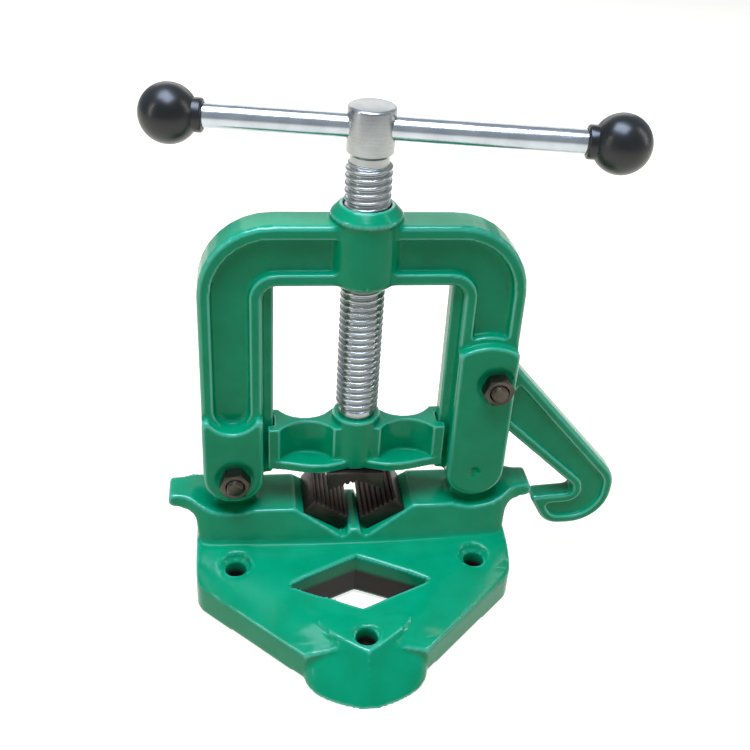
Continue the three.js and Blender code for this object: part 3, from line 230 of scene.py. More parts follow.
cast_skin, given, result = new_group(
    "cast_skin",
    [("Lump Scale", 70.0), ("Grain Scale", 520.0), ("Grain Share", 0.3)],
    ["Mottle", "Grain", "Height"],
)
place = cast_skin.nodes.new("ShaderNodeTexCoord").outputs["Object"]
lumps = noise(cast_skin, place, 3.0, 0.55)
cast_skin.links.new(given.outputs["Lump Scale"], lumps.inputs["Scale"])
grain = noise(cast_skin, place, 4.0, 0.6)
cast_skin.links.new(given.outputs["Grain Scale"], grain.inputs["Scale"])
grain_part = math_node(cast_skin, "MULTIPLY", grain.outputs["Fac"], given.outputs["Grain Share"])
cast_skin.links.new(lumps.outputs["Fac"], result.inputs["Mottle"])
cast_skin.links.new(grain.outputs["Fac"], result.inputs["Grain"])
cast_skin.links.new(math_node(cast_skin, "ADD", lumps.outputs["Fac"], grain_part), result.inputs["Height"])

fine_wear, given, result = new_group(
    "fine_wear",
    [("Scale", 900.0), ("Stretch X", 1.0), ("Stretch Y", 1.0), ("Stretch Z", 1.0), ("Turn", 0.0)],
    ["Streak", "Cloud"],
)
place = fine_wear.nodes.new("ShaderNodeTexCoord").outputs["Object"]
stretch = fine_wear.nodes.new("ShaderNodeCombineXYZ")
for axis in "XYZ":
    fine_wear.links.new(given.outputs["Stretch " + axis], stretch.inputs[axis])
spin = fine_wear.nodes.new("ShaderNodeCombineXYZ")
fine_wear.links.new(given.outputs["Turn"], spin.inputs["Z"])
mapped = fine_wear.nodes.new("ShaderNodeMapping")
fine_wear.links.new(place, mapped.inputs["Vector"])
fine_wear.links.new(stretch.outputs[0], mapped.inputs["Scale"])
fine_wear.links.new(spin.outputs[0], mapped.inputs["Rotation"])
streaks = noise(fine_wear, mapped.outputs[0], 3.0, 0.6)
fine_wear.links.new(given.outputs["Scale"], streaks.inputs["Scale"])
clouds = noise(fine_wear, place, 3.0, 0.5)
clouds.inputs["Scale"].default_value = 90.0
fine_wear.links.new(streaks.outputs["Fac"], result.inputs["Streak"])
fine_wear.links.new(clouds.outputs["Fac"], result.inputs["Cloud"])
print("groups:", [g.name for g in bpy.data.node_groups])

# %% [markdown]
# ## Enamel
#
# All castings have the same glossy green enamel. A finish here is one Principled shader whose constants
# sit on the shader itself, and only what varies over the surface, such as mottled colour, uneven gloss
# and bump, comes through a group. The enamel also reads two attributes of a casting. Along its edges the
# coat is glossier and a lighter green is painted in as a highlight. Deep in the holes and the window the
# iron is bare and painted almost black, which also stands in for the shade there.

# %% Mix the enamel
# The last green is a painted highlight: a lighter green mixed into the paint along convex edges.
DEEP_GREEN, FULL_GREEN, EDGE_HIGHLIGHT_GREEN = (0.0004, 0.285, 0.126), (0.0008, 0.340, 0.160), (0.08, 0.58, 0.40)
# The dark brown is bare iron painted almost black, which also stands in for the shade deep in holes.
BARE_IRON_AND_SHADE, EDGE_HIGHLIGHT_SHARE = (0.030, 0.021, 0.015), 0.55
NOISE_SPREAD, MOTTLE_SPREAD = (0.3, 0.7), (0.3, 0.75)


def finish(name, group, values, metallic, bump, bump_from):
    """A material with one group in it; bump is (strength, distance) and comes from a group's output."""
    material = bpy.data.materials.new(name)
    material.use_nodes = True
    tree = material.node_tree
    shader = tree.nodes["Principled BSDF"]
    shader.inputs["Metallic"].default_value = metallic
    effect = tree.nodes.new("ShaderNodeGroup")
    effect.node_tree = group
    for label, value in values.items():
        effect.inputs[label].default_value = value
    relief = tree.nodes.new("ShaderNodeBump")
    relief.inputs["Strength"].default_value = bump[0]
    relief.inputs["Distance"].default_value = bump[1]
    tree.links.new(effect.outputs[bump_from], relief.inputs["Height"])
    tree.links.new(relief.outputs[0], shader.inputs["Normal"])
    return material, tree, shader, effect


def colour_between(tree, factor, low, high, dark, light):
    blend = tree.nodes.new("ShaderNodeValToRGB")
    ends = blend.color_ramp.elements
    ends[0].position, ends[1].position = low, high
    ends[0].color, ends[1].color = (*dark, 1), (*light, 1)
    tree.links.new(factor, blend.inputs["Fac"])
    return blend.outputs["Color"]


def gloss_between(tree, factor, smooth, rough):
    spread = tree.nodes.new("ShaderNodeMapRange")
    spread.inputs["From Min"].default_value = NOISE_SPREAD[0]
    spread.inputs["From Max"].default_value = NOISE_SPREAD[1]
    spread.inputs["To Min"].default_value = smooth
    spread.inputs["To Max"].default_value = rough
    tree.links.new(factor, spread.inputs["Value"])
    return spread.outputs[0]


def attribute(tree, name):
    node = tree.nodes.new("ShaderNodeAttribute")
    node.attribute_name = name
    return node.outputs["Fac"]


def mixed(tree, factor, colour, other):
    node = tree.nodes.new("ShaderNodeMix")
    node.data_type = "RGBA"
    tree.links.new(factor, node.inputs[0])
    tree.links.new(colour, node.inputs[6])
    node.inputs[7].default_value = (*other, 1)
    return node.outputs[2]


def green_enamel():
    material, tree, shader, skin = finish("green_enamel", cast_skin, {}, 0.0, (0.16, 0.0005), "Height")
    shader.inputs["Specular IOR Level"].default_value = 0.14
    shader.inputs["Coat Roughness"].default_value = 0.06
    edge = attribute(tree, "edge")
    paint = colour_between(tree, skin.outputs["Mottle"], *MOTTLE_SPREAD, DEEP_GREEN, FULL_GREEN)
    # Bare iron deep in the holes and the window, painted almost black, which is also painted shade.
    paint = mixed(tree, attribute(tree, "bare_iron_and_shade"), paint, BARE_IRON_AND_SHADE)
    # Painted highlight: a lighter green mixed in where the edge mask is high.
    paint = mixed(tree, math_node(tree, "MULTIPLY", edge, EDGE_HIGHLIGHT_SHARE), paint, EDGE_HIGHLIGHT_GREEN)
    tree.links.new(paint, shader.inputs["Base Color"])
    tree.links.new(edge, shader.inputs["Coat Weight"])
    tree.links.new(gloss_between(tree, skin.outputs["Grain"], 0.13, 0.24), shader.inputs["Roughness"])
    return material


enamel = green_enamel()
print("nodes in the enamel:", len(enamel.node_tree.nodes))

# %% [markdown]
# ## Steels and knobs
#
# Four steels differ in colour, in gloss and in the direction of their fine marks: the turned screw, the
# drawn bar, the oiled black nuts and bolts, and the hardened black jaws. One function with these as its
# arguments makes all four. The moulded knobs are satin black and are no metal.

# %% Mix the steels and the black of the knobs
def steel(name, dark, light, smooth, rough, stretch, turn=0.0):
    values = {"Stretch " + axis: share for axis, share in zip("XYZ", stretch)}
    values.update({"Scale": 900.0, "Turn": turn})
    material, tree, shader, wear = finish(name, fine_wear, values, 1.0, (0.08, 0.0002), "Streak")
    colour = colour_between(tree, wear.outputs["Cloud"], *NOISE_SPREAD, dark, light)
    tree.links.new(colour, shader.inputs["Base Color"])
    tree.links.new(gloss_between(tree, wear.outputs["Streak"], smooth, rough), shader.inputs["Roughness"])
    return material


def black_knob():
    values = {"Scale": 260.0}
    material, tree, shader, wear = finish("black_knob", fine_wear, values, 0.0, (0.03, 0.0002), "Streak")
    dark, light = (0.004, 0.004, 0.0045), (0.009, 0.009, 0.010)
    dye = colour_between(tree, wear.outputs["Cloud"], *NOISE_SPREAD, dark, light)
    tree.links.new(dye, shader.inputs["Base Color"])
    tree.links.new(gloss_between(tree, wear.outputs["Cloud"], 0.26, 0.36), shader.inputs["Roughness"])
    return material


BAR_TURN = math.radians(-9.4)
screw_steel = steel("screw_steel", (0.33, 0.34, 0.345), (0.42, 0.43, 0.435), 0.2, 0.36, (0.06, 0.06, 1.6))
bar_steel = steel(
    "bar_steel", (0.43, 0.46, 0.50), (0.54, 0.57, 0.615), 0.14, 0.26, (0.03, 1.0, 1.0), -BAR_TURN
)
black_oxide = steel("black_oxide", (0.045, 0.038, 0.031), (0.105, 0.088, 0.070), 0.3, 0.48, (1.0, 1.0, 1.0))
tool_steel = steel("tool_steel", (0.034, 0.025, 0.022), (0.078, 0.058, 0.050), 0.34, 0.52, (1.0, 0.15, 1.0))
knob_black = black_knob()
print("finishes:", [m.name for m in bpy.data.materials])

# %% [markdown]
# ## From solid to piece
#
# Every piece made here ends in the same lines: it takes its finish, stands in for a solid or adds to one,
# and rides on that solid's body, so that it moves with the joint. A solid is loose triangles, so the
# points of a copy are merged before it is worked on. Modifiers go on a helper object, whose result is
# taken off as a plain mesh.

# %% Helpers for every piece
MERGE_DISTANCE = 1e-6


def show(name, mesh, body, material, replaced):
    piece = bpy.data.objects.new(name, mesh)
    bpy.context.scene.collection.objects.link(piece)
    mesh.materials.clear()
    mesh.materials.append(material)
    if replaced:
        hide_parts(*replaced)
    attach(piece, body)
    print(name, "faces:", len(mesh.polygons))


def opened(mesh):
    shell = bmesh.new()
    shell.from_mesh(mesh)
    return shell


def closed(shell, mesh):
    shell.to_mesh(mesh)
    shell.free()
    return mesh


def merged_copy(node):
    mesh = nodes[node].data.copy()
    shell = opened(mesh)
    bmesh.ops.remove_doubles(shell, verts=shell.verts, dist=MERGE_DISTANCE)
    return closed(shell, mesh)


def helper(name, mesh):
    piece = bpy.data.objects.new(name, mesh)
    bpy.context.scene.collection.objects.link(piece)
    return piece


def finished(piece):
    """The evaluated piece as a plain mesh, with its helper object removed."""
    graph = bpy.context.evaluated_depsgraph_get()
    mesh = bpy.data.meshes.new_from_object(piece.evaluated_get(graph))
    bpy.data.objects.remove(piece)
    return mesh


print("triangles in all solids:", sum(len(node.data.polygons) for node in nodes.values()))

# %% [markdown]
# ## Castings
#
# Sand castings have no sharp edges: every corner is rounded by the mould and again by the paint. The
# solid of a casting is exact but sharp, so it is copied, rebuilt as an even skin of small faces with a
# voxel remesh, and relaxed. Relaxing an even skin rounds outer edges and fills inner corners at once, as
# paint does, and a weight per point can keep it to one place. How sharply the skin still bends outwards
# is then stored on its points, so that the enamel makes its edges glossier and paints a highlight there.

# %% Helpers for castings
EDGE_BEND = (0.05, 0.15)


def even_skin(mesh, voxel):
    piece = helper("skin_helper", mesh)
    skin = piece.modifiers.new("skin", "REMESH")
    skin.mode = "VOXEL"
    skin.voxel_size = voxel
    skin.use_smooth_shade = True
    return finished(piece)


def read(mesh, label):
    """The places ("co", in metres) or the normals ("normal") of a mesh's points, one row each."""
    values = np.empty(len(mesh.vertices) * 3)
    mesh.vertices.foreach_get(label, values)
    return values.reshape(-1, 3)


def store(mesh, label, values):
    mesh.attributes.new(label, "FLOAT", "POINT").data.foreach_set("value", values.astype(np.float32))


def relax(mesh, rounds, weight=None):
    """Smooths a mesh; weight, if given, is a rule from x, y, z in mm to a share from 0 to 1."""
    piece = helper("relax_helper", mesh)
    if weight is not None:
        group = piece.vertex_groups.new(name="soft")
        shares = np.round(np.clip(weight(*read(mesh, "co").T / MM), 0, 1), 1)
        for share in np.unique(shares):
            if share > 0:
                group.add([int(k) for k in np.nonzero(shares == share)[0]], float(share), "REPLACE")
    calm = piece.modifiers.new("calm", "SMOOTH")
    calm.factor = 0.5
    calm.iterations = rounds
    if weight is not None:
        calm.vertex_group = "soft"
    return finished(piece)


def ramp(value, low, high):
    """0 below low, 1 above high, with a smooth step between."""
    share = np.clip((value - low) / (high - low), 0, 1)
    return share * share * (3 - 2 * share)


def mark_edges(mesh):
    """Stores how sharply the skin bends outwards, from 0 on flats to 1 along edges."""
    count = len(mesh.vertices)
    places, normals = read(mesh, "co") / MM, read(mesh, "normal")
    ends = np.empty(len(mesh.edges) * 2, dtype=np.int32)
    mesh.edges.foreach_get("vertices", ends)
    a, b = ends.reshape(-1, 2).T
    number = np.bincount(a, minlength=count) + np.bincount(b, minlength=count)

    def mean(at_a, at_b):
        return (np.bincount(a, at_a, count) + np.bincount(b, at_b, count)) / number

    step = places[b] - places[a]
    square = (step * step).sum(axis=1)
    bend = mean(-(step * normals[a]).sum(axis=1) / square, (step * normals[b]).sum(axis=1) / square)
    for _ in range(2):
        bend = 0.5 * bend + 0.5 * mean(bend[b], bend[a])
    mask = ramp(bend, *EDGE_BEND)
    store(mesh, "edge", mask)
    print("share of points on edges:", round(float((mask > 0.5).mean()), 3))


print("an edge bends by this much per mm:", EDGE_BEND)

# %% [markdown]
# ### Deck of the base
#
# The base is the largest casting. Its deck falls as a parabola from a bowed crease at the foot of the
# saddle to the level rim of the two wings, and beside the front boss it rises again to the boss's two
# ears. These lines are stated first, in millimetres, because the forms added to the base start on them.

# %% State the deck
SIDE_HOLE, FRONT_HOLE_Y = (58.5, -31.0), -78.2
WINDOW_HALF, WINDOW_Y = (34.0, 16.2), -45.6
BASE_HALF_WIDTH, RIM_Z = 77.5, 15.0
CREASE_Y, CREASE_BOW, CREASE_Z = -16.5, 3.5, 25.0
WING_APEX_Y, WING_SLOPE = -110.0, math.tan(math.radians(44))
EAR, BOSS_TOP_Z = (22.0, -69.0), 21.9
RISE_HALF_WIDTH, RISE_FADE_X = 20.0, 20.0
RISE_Y, RISE_FADE_Y = -63.0, 15.0
FORWARD_POWER, RISE_POWER = 1.5, 1.3
WINDOW_CLEAR = (2.0, 10.0)


def crease_line(x):
    return CREASE_Y - CREASE_BOW * (1 - (x / BASE_HALF_WIDTH) ** 2)


def rim_line(x):
    return WING_APEX_Y + WING_SLOPE * np.abs(x)


def window_front(x):
    return WINDOW_Y - WINDOW_HALF[1] * (1 - np.abs(x) / WINDOW_HALF[0])


def window_share(x, y):
    """0 in the middle of the diamond window, 1 on its outline, more outside it."""
    return np.abs(x) / WINDOW_HALF[0] + np.abs(y - WINDOW_Y) / WINDOW_HALF[1]


def side_hole_distance(x, y):
    return np.hypot(np.abs(x) - SIDE_HOLE[0], y - SIDE_HOLE[1])


def deck_top(x, y):
    """Height of the deck: a parabola from the crease to the rim, rising to the ears of the boss."""
    share = np.clip((crease_line(x) - y) / (crease_line(x) - rim_line(x)), 0, 1)
    deck = CREASE_Z + (RIM_Z - CREASE_Z) * share * share
    sideways = np.maximum(np.abs(x) - RISE_HALF_WIDTH, 0) / RISE_FADE_X
    forwards = (np.maximum(RISE_Y - y, 0) / RISE_FADE_Y) ** FORWARD_POWER
    rise = np.maximum(1 - np.hypot(sideways, forwards), 0) ** RISE_POWER
    return deck + np.maximum(BOSS_TOP_Z - deck, 0) * rise * ramp(window_front(x) - y, *WINDOW_CLEAR)


print("height of the deck at a side hole, in mm:", round(float(deck_top(*SIDE_HOLE)), 2))

# %% [markdown]
# ### Wall round the window
#
# A low wall hangs from the deck round the diamond window. It is a ring with four corners, made as a
# closed shell inside the copy of the solid. The two may overlap, because the skin that comes later melts
# both into one surface.

# %% Add the wall round the window
CURB_LOW, CURB_HIGH, CURB_GROWTH = 1.5, 19.5, 1.24


def with_curb(mesh):
    """Adds the low wall that hangs from the deck round the diamond window."""
    shell = opened(mesh)
    rings = []
    profile = ((1.0, CURB_LOW), (1.0, CURB_HIGH), (CURB_GROWTH, CURB_HIGH), (CURB_GROWTH, CURB_LOW))
    for grow, height in profile:
        x, y = WINDOW_HALF[0] * grow * MM, WINDOW_HALF[1] * grow * MM
        middle = WINDOW_Y * MM
        points = [(x, middle), (0, middle + y), (-x, middle), (0, middle - y)]
        rings.append([shell.verts.new((px, py, height * MM)) for px, py in points])
    for low, high in zip(rings, rings[1:] + rings[:1]):
        for k in range(4):
            shell.faces.new((low[k], high[k], high[(k + 1) % 4], low[(k + 1) % 4]))
    return closed(shell, mesh)


base_mesh = with_curb(merged_copy("base_casting"))
print("base with its window wall, faces:", len(base_mesh.polygons))

# %% [markdown]
# ### Front boss
#
# The deck runs up to the two ears of the front boss in soft fillets, and the wall of the boss drops
# steeply from its V to a round foot. Both are closed shells again: the fillets are a thick sheet that
# follows the deck, and the wall is a row of sections from ear to ear.

# %% Add the fillets and the wall of the boss
FLANK_REACH, FLANK_BACK_Y, FLANK_DEPTH, FLANK_INSET = 46.0, -50.0, 8.0, 1.0
EAR_SLOPE, EAR_STEP = 1.86, 2.0
FLANK_ROWS, FLANK_POINTS, BOSS_SECTIONS, BOSS_POINTS = 93, 33, 65, 12
BOSS_TIP_Y, BOSS_NOSE_Y, BOSS_FOOT_Z = -87.7, -101.8, 0.2
BOSS_FOOT_HALF, BOSS_FOOT_Y = 28.6, -81.5
BOSS_INSET, BOSS_FULLNESS = (0.5, 0.6), 1.2


def with_flanks(mesh):
    """Adds the fillets that lead from the deck up to the ears of the front boss."""
    shell = opened(mesh)
    rows = []
    for x in np.linspace(-FLANK_REACH, FLANK_REACH, FLANK_ROWS):
        beside = abs(x) - EAR[0]
        ear_line = EAR[1] - EAR_SLOPE * beside if beside > 0 else EAR[1] + EAR_STEP
        front = max(rim_line(x), ear_line) + FLANK_INSET
        back = min(window_front(x) - WINDOW_CLEAR[0], FLANK_BACK_Y)
        row = []
        for y in np.linspace(front, back, FLANK_POINTS):
            top = deck_top(x, y)
            row.append([shell.verts.new((x * MM, y * MM, z * MM)) for z in (top - FLANK_DEPTH, top)])
        rows.append(row)
    for left, right in zip(rows, rows[1:]):
        for k in range(len(left) - 1):
            a, b, c, d = left[k], right[k], right[k + 1], left[k + 1]
            shell.faces.new((a[1], b[1], c[1], d[1]))
            shell.faces.new((d[0], c[0], b[0], a[0]))
        for a, b in ((right[0], left[0]), (left[-1], right[-1])):
            shell.faces.new((a[0], a[1], b[1], b[0]))
    for row in (rows[0], rows[-1][::-1]):
        for a, b in zip(row, row[1:]):
            shell.faces.new((a[0], a[1], b[1], b[0]))
    bmesh.ops.recalc_face_normals(shell, faces=shell.faces)
    return closed(shell, mesh)


def with_full_boss(mesh):
    """Fills the wall of the front boss out, so that it drops steeply from its V to the foot."""
    shell = opened(mesh)
    sections = []
    for t in np.linspace(-1, 1, BOSS_SECTIONS):
        angle = t * math.pi / 2
        top = np.array([EAR[0] * t, BOSS_TIP_Y + (EAR[1] - BOSS_TIP_Y) * abs(t)])
        foot_y = BOSS_FOOT_Y + (BOSS_NOSE_Y - BOSS_FOOT_Y) * math.cos(angle)
        foot = np.array([BOSS_FOOT_HALF * math.sin(angle), foot_y])
        inner = top + np.array([-BOSS_INSET[0] * np.sign(t), BOSS_INSET[1]])
        section = [(*inner, BOSS_FOOT_Z), (*inner, BOSS_TOP_Z)]
        fullness = 1.0 + BOSS_FULLNESS * abs(t) ** 2
        for height in np.linspace(BOSS_TOP_Z, BOSS_FOOT_Z, BOSS_POINTS):
            share = 1 - (height / BOSS_TOP_Z) ** fullness
            section.append((*(top + (foot - top) * share), height))
        sections.append([shell.verts.new([v * MM for v in point]) for point in section])
    for left, right in zip(sections, sections[1:]):
        for k in range(len(left)):
            n = (k + 1) % len(left)
            shell.faces.new((left[k], right[k], right[n], left[n]))
    shell.faces.new(sections[0])
    shell.faces.new(sections[-1][::-1])
    bmesh.ops.recalc_face_normals(shell, faces=shell.faces)
    return closed(shell, mesh)


base_mesh = with_full_boss(with_flanks(base_mesh))
print("base with fillets and boss, faces:", len(base_mesh.polygons))

# %% [markdown]
# ### Base
#
# The even skin melts the solid, the wall and the boss into one surface, and relaxing rounds its edges.
# The points of the deck are then set onto the exact deck, so that no facet of the solid is left, and the
# deck at both sides of the boss is relaxed once more. Paint did not reach deep into the holes and the
# window, so an attribute marks the bare iron there; it is painted almost black, which also stands in for
# the shade in them.

# %% Cast the base
BASE_VOXEL, BASE_ROUNDS, FLANK_ROUNDS = 0.95, 5, 12
HOLE_CLEAR, OUTLINE_CLEAR = (7.8, 9.2), (1.03, 1.10)
RIM_CLEAR, CREASE_CLEAR, FACING_UP = (0.8, 2.4), (1.2, 3.2), (0.6, 0.8)
DECK_FRONT_Y, DECK_REACH = -80.0, 1.5
LEVEL_TOP_Z, LEVEL_TOP_Y = 21.7, -66.0
SOFT_X, SOFT_Y, SOFT_Z = ((22.0, 27.0), (40.0, 50.0)), ((52.0, 60.0), (72.0, 78.0)), (14.0, 16.0)
# Where the near-black bare iron goes, which also paints in the shade in the holes and the window.
IRON_SHADE_IN_HOLE, IRON_SHADE_HOLE_Z = (5.6, 6.2), (14.0, 18.0)
IRON_SHADE_IN_WINDOW, IRON_SHADE_WINDOW_Z = (1.04, 1.1), (14.5, 17.5)


def band(value, rise, fall):
    """1 between two ramps, which are given as (from, to) pairs, and 0 outside them."""
    return ramp(value, *rise) * (1 - ramp(value, *fall))


def base_softness(x, y, z):
    """Where the skin is rounded once more: on the deck at both sides of the front boss."""
    return band(np.abs(x), *SOFT_X) * band(-y, *SOFT_Y) * ramp(z, *SOFT_Z)


def true_deck(mesh):
    """Moves the points of the deck onto its exact surface, but for those near holes and edges."""
    places, up = read(mesh, "co"), read(mesh, "normal")[:, 2]
    x, y, z = places.T / MM
    weight = ramp(side_hole_distance(x, y), *HOLE_CLEAR) * ramp(window_share(x, y), *OUTLINE_CLEAR)
    weight *= ramp(y - rim_line(x), *RIM_CLEAR)
    weight *= ramp(crease_line(x) - y, *CREASE_CLEAR) * ramp(BASE_HALF_WIDTH - np.abs(x), *RIM_CLEAR)
    weight *= ramp(up, *FACING_UP) * (y > DECK_FRONT_Y)
    gap = deck_top(x, y) - z
    weight *= (np.abs(gap) < DECK_REACH) & ((z < LEVEL_TOP_Z) | (y > LEVEL_TOP_Y))
    places[:, 2] += weight * gap * MM
    mesh.vertices.foreach_set("co", places.ravel())
    mesh.update()
    print("deck points set:", int((weight > 0.5).sum()))


def bare_iron_and_shade(x, y, z):
    """1 deep in the holes and at the foot of the window: bare iron there, painted dark also as shade."""
    from_hole = np.minimum(side_hole_distance(x, y), np.hypot(x, y - FRONT_HOLE_Y))
    holes = (1 - ramp(from_hole, *IRON_SHADE_IN_HOLE)) * (1 - ramp(z, *IRON_SHADE_HOLE_Z))
    window = (1 - ramp(window_share(x, y), *IRON_SHADE_IN_WINDOW)) * (1 - ramp(z, *IRON_SHADE_WINDOW_Z))
    return np.maximum(holes, window)


base_mesh = relax(even_skin(base_mesh, BASE_VOXEL * MM), BASE_ROUNDS)
true_deck(base_mesh)
base_mesh = relax(base_mesh, FLANK_ROUNDS, base_softness)
mark_edges(base_mesh)
# Marks the bare iron, which the enamel paints almost black and so also as shade in holes and window.
store(base_mesh, "bare_iron_and_shade", bare_iron_and_shade(*read(base_mesh, "co").T / MM))
show("cast_base", base_mesh, "base", enamel, ["base_casting"])

# %% [markdown]
# ### Yoke, hook and crosshead
#
# These three are finer castings with rims and pockets, so their skin has smaller faces. Small faces move
# less in each round of relaxing, so these castings get more rounds than the base.

# %% Cast the yoke, the hook and the crosshead
for name, node, body, voxel, rounds in (
    ("cast_yoke", "yoke_casting", "yoke", 0.75, 9),
    ("cast_hook", "hook_latch", "hook", 0.6, 10),
    ("cast_crosshead", "crosshead", "slider", 0.5, 9),
):
    casting = relax(even_skin(merged_copy(node), voxel * MM), rounds)
    mark_edges(casting)
    show(name, casting, body, enamel, [node])

# %% [markdown]
# ## Screw
#
# The screw's thread is a helix, and a helix is a rule: as the angle goes once round, the pattern climbs
# by one pitch. Geometry Nodes state that rule directly. A flat grid is rolled up into a tube, and each
# point's radius depends on where it lies between two crests. Radius, depth, pitch and ends are inputs, so
# the same tree also cuts the small threads on the ends of the pivot bolts.

# %% Build the thread tree
CREST_END, ROOT_START, THREAD_SHARP = 0.16, 0.86, 60


def thread_tree():
    tree = bpy.data.node_groups.new("rolled_thread", "GeometryNodeTree")
    tree.interface.new_socket("Geometry", in_out="INPUT", socket_type="NodeSocketGeometry")
    for label in ("Radius", "Depth", "Pitch", "Start", "End"):
        tree.interface.new_socket(label, in_out="INPUT", socket_type="NodeSocketFloat")
    for label in ("Around", "Along"):
        tree.interface.new_socket(label, in_out="INPUT", socket_type="NodeSocketInt")
    tree.interface.new_socket("Material", in_out="INPUT", socket_type="NodeSocketMaterial")
    tree.interface.new_socket("Geometry", in_out="OUTPUT", socket_type="NodeSocketGeometry")
    given = tree.nodes.new("NodeGroupInput")
    result = tree.nodes.new("NodeGroupOutput")

    def calc(operation, a, b=0.0):
        return math_node(tree, operation, a, b)

    sheet = tree.nodes.new("GeometryNodeMeshGrid")
    sheet.inputs["Size X"].default_value = 1.0
    sheet.inputs["Size Y"].default_value = 1.0
    tree.links.new(given.outputs["Around"], sheet.inputs["Vertices X"])
    tree.links.new(given.outputs["Along"], sheet.inputs["Vertices Y"])
    spot = tree.nodes.new("ShaderNodeSeparateXYZ")
    tree.links.new(tree.nodes.new("GeometryNodeInputPosition").outputs[0], spot.inputs[0])
    turn_share = calc("ADD", spot.outputs["X"], 0.5)
    angle = calc("MULTIPLY", turn_share, 2 * math.pi)
    span = calc("SUBTRACT", given.outputs["End"], given.outputs["Start"])
    climb = calc("MULTIPLY", calc("ADD", spot.outputs["Y"], 0.5), span)
    height = calc("ADD", climb, given.outputs["Start"])
    risen = calc("SUBTRACT", height, given.outputs["Start"])
    phase = calc("FRACT", calc("SUBTRACT", calc("DIVIDE", risen, given.outputs["Pitch"]), turn_share))
    away = calc("ABSOLUTE", calc("SUBTRACT", calc("MULTIPLY", phase, 2.0), 1.0))
    flank = tree.nodes.new("ShaderNodeMapRange")
    flank.interpolation_type = "SMOOTHSTEP"
    flank.inputs["From Min"].default_value = CREST_END
    flank.inputs["From Max"].default_value = ROOT_START
    tree.links.new(away, flank.inputs["Value"])
    groove = calc("MULTIPLY", flank.outputs[0], given.outputs["Depth"])
    crest = calc("SUBTRACT", given.outputs["Radius"], groove)
    root = calc("SUBTRACT", given.outputs["Radius"], given.outputs["Depth"])
    below = calc("SUBTRACT", given.outputs["End"], height)
    lead_in = calc("ADD", root, calc("MINIMUM", below, risen))
    radius = calc("MINIMUM", crest, lead_in)
    rolled = tree.nodes.new("ShaderNodeCombineXYZ")
    tree.links.new(calc("MULTIPLY", radius, calc("COSINE", angle)), rolled.inputs["X"])
    tree.links.new(calc("MULTIPLY", radius, calc("SINE", angle)), rolled.inputs["Y"])
    tree.links.new(height, rolled.inputs["Z"])
    moved = tree.nodes.new("GeometryNodeSetPosition")
    tree.links.new(sheet.outputs["Mesh"], moved.inputs["Geometry"])
    tree.links.new(rolled.outputs[0], moved.inputs["Position"])
    seam = tree.nodes.new("GeometryNodeMergeByDistance")
    seam.inputs["Distance"].default_value = MERGE_DISTANCE
    tree.links.new(moved.outputs[0], seam.inputs["Geometry"])
    real = tree.nodes.new("GeometryNodeRealizeInstances")
    tree.links.new(seam.outputs[0], real.inputs["Geometry"])
    dressed = tree.nodes.new("GeometryNodeSetMaterial")
    tree.links.new(real.outputs[0], dressed.inputs["Geometry"])
    tree.links.new(given.outputs["Material"], dressed.inputs["Material"])
    tree.links.new(dressed.outputs[0], result.inputs["Geometry"])
    return tree


THREAD = thread_tree()


def smoothed(mesh, sharp):
    """Smooth shading, but for edges that turn by more than the given degrees."""
    mesh.shade_smooth()
    mesh.set_sharp_from_angle(angle=math.radians(sharp))
    return mesh


def thread_mesh(radius, depth, pitch, start, end, around, per_turn, material):
    """A thread from sizes in metres, with its ends closed."""
    carrier = helper("thread_helper", bpy.data.meshes.new("thread_helper"))
    rolling = carrier.modifiers.new("rolling", "NODES")
    rolling.node_group = THREAD
    along = int(round((end - start) / pitch * per_turn)) + 1
    values = {
        "Radius": radius, "Depth": depth, "Pitch": pitch, "Start": start, "End": end,
        "Around": around + 1, "Along": along, "Material": material,
    }
    for item in THREAD.interface.items_tree:
        if item.item_type == "SOCKET" and item.in_out == "INPUT" and item.name in values:
            rolling[item.identifier] = values[item.name]
    mesh = finished(carrier)
    shell = opened(mesh)
    bmesh.ops.holes_fill(shell, edges=[e for e in shell.edges if e.is_boundary], sides=0)
    bmesh.ops.recalc_face_normals(shell, faces=shell.faces)
    return smoothed(closed(shell, mesh), THREAD_SHARP)


print("thread inputs:", [i.name for i in THREAD.interface.items_tree])

# %% [markdown]
# The rest of the screw is turned: a plain head with a cross hole for the bar, a neck under it, and a
# shoulder and journal at the lower end. A turned piece is a profile swept round an axis. The cross hole is
# a real hole, cut with a Boolean, because the bar slides through it.

# %% Turn the screw
ROUND_SHARP = 32


def plain(name, shell, sharp):
    bmesh.ops.recalc_face_normals(shell, faces=shell.faces)
    return smoothed(closed(shell, bpy.data.meshes.new(name)), sharp)


def turned(name, profile, steps=96):
    """A mesh from (radius, height) pairs in mm, swept round Z; it starts and ends on the axis."""
    shell = bmesh.new()
    rings = []
    for radius, height in profile:
        if radius == 0:
            rings.append([shell.verts.new((0, 0, height * MM))])
            continue
        wide = radius * MM
        angles = [2 * math.pi * k / steps for k in range(steps)]
        circle = [(wide * math.cos(a), wide * math.sin(a), height * MM) for a in angles]
        rings.append([shell.verts.new(point) for point in circle])
    for low, high in zip(rings, rings[1:]):
        for k in range(steps):
            a, b = low[k % len(low)], low[(k + 1) % len(low)]
            c, d = high[(k + 1) % len(high)], high[k % len(high)]
            corners = [v for i, v in enumerate((a, b, c, d)) if v not in (a, b, c, d)[:i]]
            if len(corners) > 2:
                shell.faces.new(corners)
    return plain(name, shell, ROUND_SHARP)


def drilled(mesh, tool):
    piece, cutter = helper("drill_helper", mesh), helper("drill_tool", tool)
    hole = piece.modifiers.new("hole", "BOOLEAN")
    hole.operation = "DIFFERENCE"
    hole.solver = "EXACT"
    hole.object = cutter
    result = finished(piece)
    bpy.data.objects.remove(cutter)
    return smoothed(result, ROUND_SHARP)


